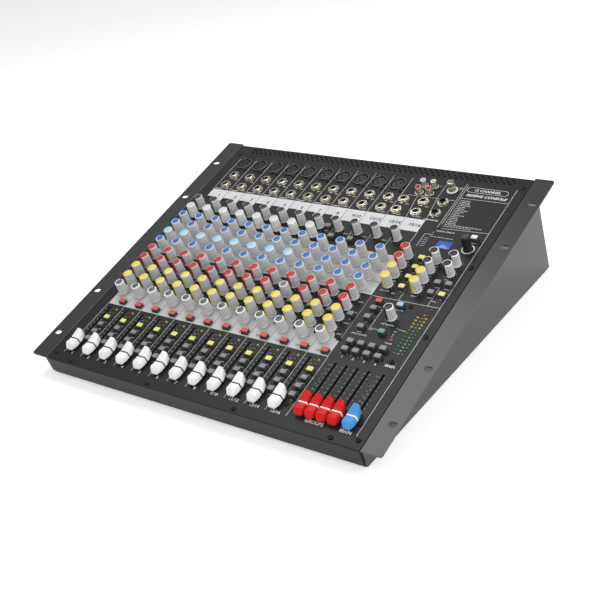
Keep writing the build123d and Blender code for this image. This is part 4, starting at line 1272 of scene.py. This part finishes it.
@dataclass
class Print(Assembly):
    """Everything screen-printed on the control surface."""

    layout: Layout = None
    parts: list = field(default_factory=list)

    def build(self) -> None:
        """Prints the areas, lines, scales and words."""
        for strip in range(STRIPS):
            self.strip_areas(strip)
            self.strip_words(strip)
            self.strip_lines(strip)
        self.eq_area()
        self.knob_scales()
        self.fader_scales()
        self.master_lines()
        self.master_words()
        self.header()
        inks = [INK_WHITE, INK_GREY, INK_LABEL, INK_EQ, INK_PAN, INK_DARK]
        self.piece("panel_print", join(self.parts), inks, "console")

    def box(self, x0: float, y0: float, x1: float, y1: float, ink: Ink, lift: float = PRINT_LIFT) -> None:
        """Adds a filled rectangle."""
        self.parts.append(rectangles((x0, y0, x1, y1), ink, lift))

    def line(self, x0: float, y0: float, x1: float, y1: float, ink: Ink = Ink.WHITE,
             width: float = LINE) -> None:
        """Adds a straight line of the given width.

        Args:
            x0: start across.
            y0: start up the slope.
            x1: end across.
            y1: end up the slope.
            ink: colour.
            width: of the line.
        """
        along = np.array((x1 - x0, y1 - y0), float)
        side = np.array((-along[1], along[0])) / np.hypot(*along) * width / 2
        ends = np.array(((x0, y0), (x1, y1), (x1, y1), (x0, y0))) + np.array((-side, -side, side, side))
        verts = np.column_stack((ends, np.full(4, TEXT_LIFT)))
        self.parts.append(Shape(verts, np.arange(4)[None], np.array((int(ink),))))

    def word(self, text: str, x: float, y: float, size: float, ink: Ink = Ink.WHITE, bold: float = 0.012,
             shear: float = 0.0, turn: float = 0.0) -> None:
        """Adds lettering centred on a place.

        Args:
            text: what to print.
            x: across.
            y: up the slope.
            size: letter size.
            ink: colour.
            bold: how far the outline grows.
            shear: slant.
            turn: degrees anticlockwise.
        """
        shape = lettering(text, bold, shear)
        flat = Shape(shape.verts * (size, size, 0) + (0, 0, TEXT_LIFT + 0.02), shape.faces, shape.tints)
        self.parts.append(copies(flat.tinted(ink), [(x, y)], turn))

    def strip_areas(self, strip: int) -> None:
        """The white name band and the grey band round the pan knob.

        Args:
            strip: counted from 0.
        """
        left, right = self.layout.left(strip), self.layout.left(strip + 1)
        notch = 13.0 if strip < MONO_STRIPS else 0.0
        self.box(left + 0.3, NAME_BAND[0], right - 0.3, NAME_BAND[1], Ink.LABEL)
        self.box(left + 0.3 + notch, NAME_NOTCH, right - 0.3, NAME_BAND[0], Ink.LABEL)
        mute = self.layout.mutes[strip]
        window = (mute[0] - 5.0, mute[1] - 3.6, mute[0] + 5.0, mute[1] + 3.6)
        low, high = PAN_BAND
        self.parts.append(sheet(left + 0.25, low, right - 0.25, high, [window], Ink.PAN))
        x, y = self.layout.fader[strip] + 0.8, self.layout.rows[0]
        self.parts.append(sector(x, y + 5.2, 0.5, 9.4, 0, 180, Ink.PAN, PRINT_LIFT))
        self.line(left, low, left, high, Ink.DARK, 0.5)
        self.line(left, NAME_NOTCH, left, NAME_BAND[1], Ink.DARK, 0.5)

    def eq_area(self) -> None:
        """The pale area under the four equaliser rows."""
        left, right = self.layout.left(0), self.layout.left(STRIPS)
        self.box(left + 0.3, EQ_BAND[0], right - 0.8, EQ_BAND[1], Ink.EQ)

    def strip_lines(self, strip: int) -> None:
        """Lines between strips, broken where the printed bands cross.

        Args:
            strip: counted from 0; the line stands at its left edge.
        """
        edges = [self.layout.left(strip)] + ([self.layout.left(STRIPS)] if strip == STRIPS - 1 else [])
        for x in edges:
            shift = -5.0 if x > self.layout.left(MIC_STRIPS) + 5 else 0.0
            for low, high in ((14.6, PAN_BAND[0]), (126.8, 197.4), (263.6, 307.4)):
                self.line(x, low, x, high, Ink.WHITE if low < 100 or low > 250 else Ink.GREY)
            long = strip <= MIC_STRIPS and x < self.layout.left(STRIPS)
            self.line(x, 329.6, x + shift, 402.0 if long else 370.0)

    def strip_words(self, strip: int) -> None:
        """Strip number, control names and socket names.

        Args:
            strip: counted from 0.
        """
        left = self.layout.left(strip)
        name = STRIP_NAMES[strip]
        rows = self.layout.rows
        mono = strip < MONO_STRIPS
        self.word(name, left + 17.5, 318.6, 7.0, Ink.DARK, 0.03)
        self.word(name, left + 12.4, 15.8, 5.6, Ink.WHITE, 0.02)
        self.word(name, left + (12.6 if mono else 11.4), 105.2, 3.6, Ink.DARK, 0.02)
        self.word("MUTE", left + 20.4, 110.8, 1.8, Ink.DARK)
        self.word("L", left + 2.2, 115.2, 2.0, Ink.DARK)
        self.word("R", left + 15.6, 115.2, 2.0, Ink.DARK)
        names = {1: "AUX 4", 2: "AUX 3", 3: "AUX 2", 4: "AUX 1", 9: "COMP" if mono else "", 10: "GAIN"}
        for row, text in names.items():
            if text:
                self.word(text, left + 20.6, rows[row] - 5.0, 2.4)
        tones = {5: "LOW", 6: "FREQ" if mono else "LOW MID", 7: "MID" if mono else "HIGH MID", 8: "HIGH"}
        for row, text in tones.items():
            self.word(text, left + 20.4, rows[row] - 4.6, 2.3, Ink.DARK)
        self.word("PRE", left + 20.4, 156.6, 1.9)
        self.word("SIG", left + 14.0, 92.4, 1.4, Ink.GREY)
        self.word("PEAK", left + 13.9, 86.0, 1.4, Ink.GREY)
        for text, y in (("PFL", 70.6), ("MAIN", 58.6), ("1-2", 46.6), ("3-4", 34.6)):
            self.word(text, left + 20.4, y, 1.9)
        jack = 13.7 if strip < MIC_STRIPS else 8.3
        self.word("LINE" if mono else "LEFT", left + jack + 8.2, 352.6, 2.3)
        self.word("INSERT" if mono else "RIGHT", left + jack + 6.4, 333.0 if mono else 332.8, 2.3)
        if mono:
            self.line(left + 2.0, 331.6, left + 13.0, 331.6, Ink.WHITE, 0.9)
            self.word("PAD", left + 21.4, 285.0, 1.9)
        if strip < MIC_STRIPS:
            self.word("MIC", left + 4.0, 399.6, 2.4)

    def knob_scales(self) -> None:
        """Eleven ticks round every knob, dark on the pale areas."""
        names = ["gain", "comp", "eq", "aux", "effect", "pan"]
        nodes = [n + "_knob_1" for n in names] + [n + "_knobs" for n in names]
        places = self.places(*nodes, "eq_sweep_knobs", "master_knobs", "phones_knob")
        angles = np.radians(np.linspace(-SEVEN_O_CLOCK, SEVEN_O_CLOCK, SCALE_TICKS))
        direction = np.column_stack((np.sin(angles), np.cos(angles)))
        side = np.column_stack((np.cos(angles), -np.sin(angles)))
        inner, outer = 7.0, 7.9
        quad = np.stack((direction * inner - side * 0.2, direction * outer - side * 0.2,
                         direction * outer + side * 0.2, direction * inner + side * 0.2), 1)[:, ::-1]
        corners = 4 * SCALE_TICKS
        verts = np.column_stack((quad.reshape(-1, 2), np.full(corners, TEXT_LIFT)))
        ring = Shape(verts, np.arange(corners).reshape(-1, 4), np.zeros(SCALE_TICKS, int))
        rows = self.layout.rows
        on_strip = places[:, 0] < self.layout.left(STRIPS)
        y = places[:, 1]
        pale = on_strip & (((y > rows[4] + 8) & (y < rows[9] - 8)) | (y < rows[0] + 4))
        self.parts.append(copies(ring.tinted(Ink.DARK), places[pale]))
        self.parts.append(copies(ring.tinted(Ink.WHITE), places[~pale]))

    def fader_scales(self) -> None:
        """Level ticks and figures beside the slots."""
        low, high = self.layout.slot_low, self.layout.slot_high
        levels = np.linspace(low, high, SCALE_TICKS)
        ones = np.ones(SCALE_TICKS)
        strip = np.vstack([np.column_stack((a * ones, levels - 0.15, b * ones, levels + 0.15))
                           for a, b in ((-4.4, -2.4), (2.4, 3.6))])
        every = np.concatenate((self.layout.fader, self.layout.groups, (self.layout.main,)))
        places = np.column_stack((every, np.zeros(len(every))))
        self.parts.append(copies(rectangles(strip, Ink.WHITE, TEXT_LIFT), places))
        figures = ("60", "40", "30", "20", "10", "5", "0", "5", "10")
        columns = [(x, 1.4, 5.6) for x in self.layout.fader]
        columns += [(x, 2.0, 6.4) for x in (self.layout.groups[0], self.layout.main)]
        for x, size, aside in columns:
            for text, y in zip(figures, np.linspace(low + 4, high, len(figures))):
                self.word(text, x - aside, y, size, Ink.GREY)

    def master_lines(self) -> None:
        """Borders and brackets of the master section."""
        edge = self.layout.left(STRIPS)
        right = 205.5
        lines = ((right, 14.7, right, 403.0), (141.5, 320.3, 141.5, 402.9), (144.2, 327.0, 144.2, 400.0),
                 (edge + 1.2, 197.0, right, 197.8), (155.0, 197.4, 155.0, 216.4),
                 (190.6, 197.6, 190.6, 230.0), (144.6, 179.7, 144.6, 148.5),
                 (144.6, 148.5, 148.5, 148.5), (78.0, 370.0, 140.2, 370.0), (116.5, 370.0, 116.5, 402.0),
                 (144.2, 376.4, right, 377.2), (147.0, 319.8, right, 322.6),
                 (132.2, 285.0, 132.2, 306.9), (132.2, 306.9, 142.0, 307.6),
                 (141.0, 309.8, 141.0, 312.2), (174.5, 157.0, 186.0, 156.4), (174.6, 150.0, 174.6, 144.0))
        for x0, y0, x1, y1 in lines:
            self.line(x0, y0, x1, y1)

    def master_words(self) -> None:
        """Names in the master section, all generic."""
        groups = self.layout.groups
        self.word("MAIN", 193.0, 106.6, 4.8, bold=0.02)
        self.word("MAIN", self.layout.main - 0.6, 16.0, 5.6, bold=0.02)
        self.word("GROUPS", groups.mean(), 16.0, 5.8, bold=0.02)
        for index, x in enumerate(groups):
            self.word(str(index + 1), x + 1.2, 104.6, 4.4)
        for x in groups:
            self.word("L", x - 3.6, 108.6, 1.6)
            self.word("R", x + 5.6, 108.6, 1.6)
        self.word("HEADPHONES", 127.6, 331.0, 3.0, bold=0.02)
        self.word("LAMP", 137.6, 394.0, 2.4)
        self.word("12 V", 137.6, 391.2, 2.4)
        self.word("IN", 84.0, 392.6, 2.2)
        self.word("OUT", 110.0, 392.6, 2.2)
        self.word("TAPE", 96.2, 371.6, 2.4)
        self.word("DIGITAL EFFECTS", 155.0, 314.7, 3.0)
        self.word("GROUP SOURCE", 137.6, 139.0, 2.6)
        self.word("POWER", 175.8, 135.4, 2.4)
        self.word("PHONES LEVEL", 161.4, 160.4, 2.4)
        self.word("48 V", 174.8, 153.0, 2.0)
        self.word("MIC ROUTE", 152.4, 150.6, 2.4)
        names = (("AUX 1 SEND", 131.6, 256.4), ("AUX 2 SEND", 131.6, 240.6), ("AUX 3 SEND", 131.6, 224.2),
                 ("AUX 4 SEND", 131.6, 207.6), ("RETURN 1", 168.4, 257.2), ("RETURN 2", 168.4, 240.6),
                 ("LEVEL", 192.4, 257.2), ("LEVEL", 192.4, 240.4), ("RETURN 3", 168.4, 224.2),
                 ("EFFECT", 168.4, 207.6), ("TAPE", 187.0, 226.2), ("MONO", 200.3, 226.2),
                 ("MAIN", 186.8, 209.8), ("PFL", 200.3, 209.6), ("PFL", 151.0, 258.8),
                 ("PFL", 151.0, 242.6), ("PFL", 151.0, 226.4), ("PFL", 151.0, 210.2),
                 ("PEAK", 143.8, 206.0), ("PEAK", 194.4, 205.5), ("MUTE ALL", 137.2, 182.8),
                 ("PHANTOM", 163.4, 183.4), ("1-2", 136.4, 171.4), ("3-4", 136.4, 157.4),
                 ("MAIN", 136.4, 142.4), ("SELECT", 194.7, 303.6))
        for text, x, y in names:
            self.word(text, x, y, 2.1)
        marks = ("+18", "+12", "+9", "+6", "+3", "0", "-3", "-6", "-9", "-12", "-18", "-24", "-30")
        for index, text in enumerate(reversed(marks)):
            self.word(text, 193.2, 125.0 + 4.9 * index, 2.0)
        self.dashes(135.2, 286.4, 5, 3.4, 1.0, (2.6, 1.8))
        self.dashes(140.0, 303.9, 1, 3.0, 1.1, (4.2, 3.0, 5.4, 3.6, 4.6, 3.8))
        x, y = self.places("data_encoder")[0]
        self.parts.append(sector(x, y, 6.3, 7.7, 0, 360, Ink.LABEL))

    def dashes(self, x: float, y: float, rows: int, pitch: float, height: float, widths: tuple) -> None:
        """Rows of short bars that stand for small print.

        Args:
            x: left edge.
            y: front row.
            rows: how many rows.
            pitch: between rows.
            height: of a bar.
            widths: bar lengths along a row, each followed by a gap.
        """
        starts = x + np.concatenate(([0.0], np.cumsum(np.array(widths) + 0.9)[:-1]))
        for row in range(rows):
            low = y + row * pitch
            ends = starts + np.array(widths)
            ones = np.ones(len(starts))
            boxes = np.column_stack((starts, low * ones, ends, (low + height) * ones))
            self.parts.append(rectangles(boxes, Ink.GREY, TEXT_LIFT))

    def header(self) -> None:
        """Title box and the list of effect programs."""
        self.word("MIXING CONSOLE", 174.4, 383.2, 6.1, bold=0.028, shear=0.3)
        ring = rounded_ring(52.0, 9.0, 4.4, 6) + (172.0, 393.6)
        for start, end in zip(ring, np.roll(ring, -1, 0)):
            self.line(*start, *end, Ink.WHITE, 0.5)
        self.word("12 CHANNEL", 172.0, 393.4, 5.8, bold=0.02)
        for row in range(15):
            extra = (2.0 + (row * 7) % 5,) if row % 3 else (3.0, 2.4 + (row * 5) % 4)
            self.dashes(147.0, 371.6 - 3.0 * row, 1, 0, 1.35, (1.6, 3.0 + (row * 3) % 4) + extra)
        for row in range(2):
            widths = tuple(3.0 + (i * (row + 3)) % 4 for i in range(9))
            self.dashes(147.6, 326.8 - 3.0 * row, 1, 0, 1.35, widths)


@dataclass
class Rear(Assembly):
    """Sockets, inlet and switch on the back."""

    wide: float = 20.0            # microphone outputs are wider than this, jacks narrower
    flange: float = 30.0          # the inlet's flange is wider than this

    def build(self) -> None:
        """Dresses the rear CAD pieces, adds metal contacts and prints the names."""
        self.dress(BLACK, "rear_sockets", "mains_inlet")
        reach = self.plate.to_plate(node_points(self.frame["nodes"]["rear_panel"]))[:, 1].max()
        rear = self.plate.rear(reach)
        found = islands(self.frame["nodes"]["rear_sockets"], rear)
        mains = islands(self.frame["nodes"]["mains_inlet"], rear)
        self.contacts(rear, found, mains)
        self.rocker(rear)
        self.words(rear, found, mains)

    def contacts(self, rear: Plate, found: np.ndarray, mains: np.ndarray) -> None:
        """Pins of the main outputs, blades of the inlet and trims of the jacks.

        Args:
            rear: the rear face.
            found: solids of the sockets.
            mains: solids of the inlet.
        """
        wide = found[found[:, 4] > self.wide]
        jacks = found[found[:, 4] < self.wide]
        pin = lathe([(1.32, -12.0), (1.32, -2.4), (0.9, -1.7)], 16)
        pins = copies(pin, ((-3.4, -1.7), (3.4, -1.7), (0.0, 3.4)))
        shell = lathe([(9.35, -11.0), (9.35, 1.2), (9.5, 1.55), (9.9, 1.55), (10.1, 1.4)], 44, caps=OPEN)
        blade = stack([(-13.5, 2.1, 4.1, 0.2), (-1.4, 2.1, 4.1, 0.2), (-0.9, 1.6, 3.4, 0.2)], 0, 2)
        blades = copies(blade, ((-7.0, 2.0), (0.0, -2.0), (7.0, 2.0)))
        inlet = mains[mains[:, 4] > self.flange]
        shape = join([copies(join([pins, shell]), wide[:, :2]), copies(blades, inlet[:, :2]),
                      copies(jack_lip(1.0), jacks[:, :2])])
        self.piece("rear_contacts", shape, [NICKEL], "console", plate=rear)

    def rocker(self, rear: Plate) -> None:
        """Rocker with two flats that meet at a shallow angle, and one raised mark.

        Args:
            rear: the rear face.
        """
        self.dress(GLOSS_BLACK, "power_rocker")
        x, y, _, high = islands(self.frame["nodes"]["power_rocker"], rear)[0, :4]
        mark = stack([(high - 1.6, 0.7, 3.0, 0.2), (high - 0.9, 0.6, 2.8, 0.2)], 0, 2)
        self.piece("power_rocker_mark", mark.moved(x, y + 4.6), [PHONO_WHITE], "power_rocker", plate=rear)

    def words(self, rear: Plate, found: np.ndarray, mains: np.ndarray) -> None:
        """Names over the sockets.

        Args:
            rear: the rear face.
            found: solids of the sockets.
            mains: solids of the inlet.
        """
        shapes = []
        jacks = found[found[:, 4] < self.wide]
        names = ["AUX 1", "AUX 2", "AUX 3", "AUX 4", "GROUP 1", "GROUP 2", "GROUP 3", "GROUP 4",
                 "IN L", "IN R", "CTRL L", "CTRL R"]
        jacks = jacks[np.argsort(jacks[:, 0])]
        pairs = [(text, row[0], row[1] + 12.0, 3.0) for text, row in zip(names, jacks)]
        wide = found[found[:, 4] > self.wide]
        wide = wide[np.argsort(wide[:, 0])]
        pairs += [("MAIN " + side, row[0], row[1] + 19.0, 3.4) for side, row in zip("LR", wide)]
        pairs += [("MAINS", mains[:, 0].mean(), mains[:, 1].mean() + 18.0, 3.4)]
        for text, x, y, size in pairs:
            shape = lettering(text, 0.012)
            flat = Shape(shape.verts * (size, size, 0) + (0, 0, TEXT_LIFT), shape.faces, shape.tints)
            shapes.append(flat.moved(x, y))
        self.piece("rear_print", join(shapes), [INK_WHITE], "console", plate=rear)


# ------------------------------------------------------------------ stage
@dataclass(frozen=True)
class View:
    """The camera: where it stands and how it is held."""

    place: tuple = (0.6905, -0.8633, 0.6272)
    right: tuple = (0.8155, 0.5627, -0.1352)
    up: tuple = (-0.1746, 0.4620, 0.8695)
    lens: float = 62.62

    def build(self) -> bpy.types.Object:
        """Makes the camera and hands it to the scene.

        Returns:
            The camera.
        """
        right = Vector(self.right).normalized()
        back = right.cross(Vector(self.up)).normalized()
        up = back.cross(right)
        turn = Matrix((right, up, back)).transposed().to_4x4()
        data = bpy.data.cameras.new("camera")
        data.lens = self.lens
        data.clip_start = 0.01
        camera = bpy.data.objects.new("camera", data)
        camera.matrix_world = Matrix.Translation(self.place) @ turn
        bpy.context.scene.collection.objects.link(camera)
        bpy.context.scene.camera = camera
        return camera


@dataclass(frozen=True)
class SoftLight:
    """A soft box that looks at the console."""

    name: str
    place: tuple
    size: float
    power: float

    def build(self) -> None:
        """Makes the area light."""
        data = bpy.data.lights.new(self.name, "AREA")
        data.shape = "SQUARE"
        data.size = self.size
        data.energy = self.power
        lamp = bpy.data.objects.new(self.name, data)
        lamp.location = self.place
        aim = Vector((0, 0, 0.05)) - Vector(self.place)
        lamp.rotation_euler = aim.to_track_quat("-Z", "Y").to_euler()
        bpy.context.scene.collection.objects.link(lamp)


@dataclass
class Studio:
    """Pale floor, soft lights and the camera."""

    lights: tuple = (SoftLight("key", (1.5, 0.9, 1.7), 1.3, 15.0),
                     SoftLight("fill", (-1.4, -1.2, 1.3), 1.4, 7.0),
                     SoftLight("side", (1.6, -0.95, 0.95), 1.5, 22.0),
                     SoftLight("top", (-0.5, 0.3, 1.45), 0.8, 9.0))

    def build(self) -> None:
        """Sets up the studio."""
        for light in self.lights:
            light.build()
        View().build()
        self.floor()
        world = bpy.data.worlds.new("studio")
        world.use_nodes = True
        shade = world.node_tree.nodes["Background"]
        shade.inputs["Color"].default_value = (0.93, 0.94, 0.96, 1.0)
        shade.inputs["Strength"].default_value = 0.4
        bpy.context.scene.world = world
        bpy.context.scene.view_settings.view_transform = "Standard"

    @staticmethod
    def floor() -> None:
        """A plain pale floor under the feet."""
        mesh = bpy.data.meshes.new("floor")
        corners = [(x * FLOOR_REACH, y * FLOOR_REACH, 0) for x, y in ((-1, -1), (1, -1), (1, 1), (-1, 1))]
        mesh.from_pydata(corners, [], [(0, 1, 2, 3)])
        material = bpy.data.materials.new("floor")
        material.use_nodes = True
        shader = material.node_tree.nodes["Principled BSDF"]
        shader.inputs["Base Color"].default_value = (0.86, 0.86, 0.86, 1.0)
        shader.inputs["Roughness"].default_value = 0.9
        shader.inputs["Emission Color"].default_value = (1.0, 1.0, 1.0, 1.0)
        shader.inputs["Emission Strength"].default_value = 0.42
        mesh.materials.append(material)
        floor = bpy.data.objects.new("floor", mesh)
        bpy.context.scene.collection.objects.link(floor)
        floor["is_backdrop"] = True


def plain(bounds: object) -> object:
    """Bounds as nested lists that JSON can hold.


    Returns:
        The same numbers as lists.
    """
    if isinstance(bounds, dict):
        return {key: plain(value) for key, value in bounds.items()}
    return [plain(v) for v in bounds] if hasattr(bounds, "__len__") else float(bounds)


def main() -> None:
    """Builds the console's looks, then the studio."""
    logging.basicConfig(level=logging.INFO, format="%(name)s %(message)s")
    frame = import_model()
    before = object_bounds()
    plate = Plate.control_surface(frame)
    layout = Layout.measure(frame, plate)
    crew = [Case(frame, plate), Knobs(frame, plate), Faders(frame, plate), Buttons(frame, plate),
            Sockets(frame, plate), Lamps(frame, plate), Print(frame, plate, layout=layout),
            Rear(frame, plate)]
    for part in crew:
        part.build()
        for name, faces in part.made:
            LOG.info("%-28s %7d faces", name, faces)
    Studio().build()
    {"cad": plain(before), "visual": plain(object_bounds())}


if __name__ == "__main__":
    main()
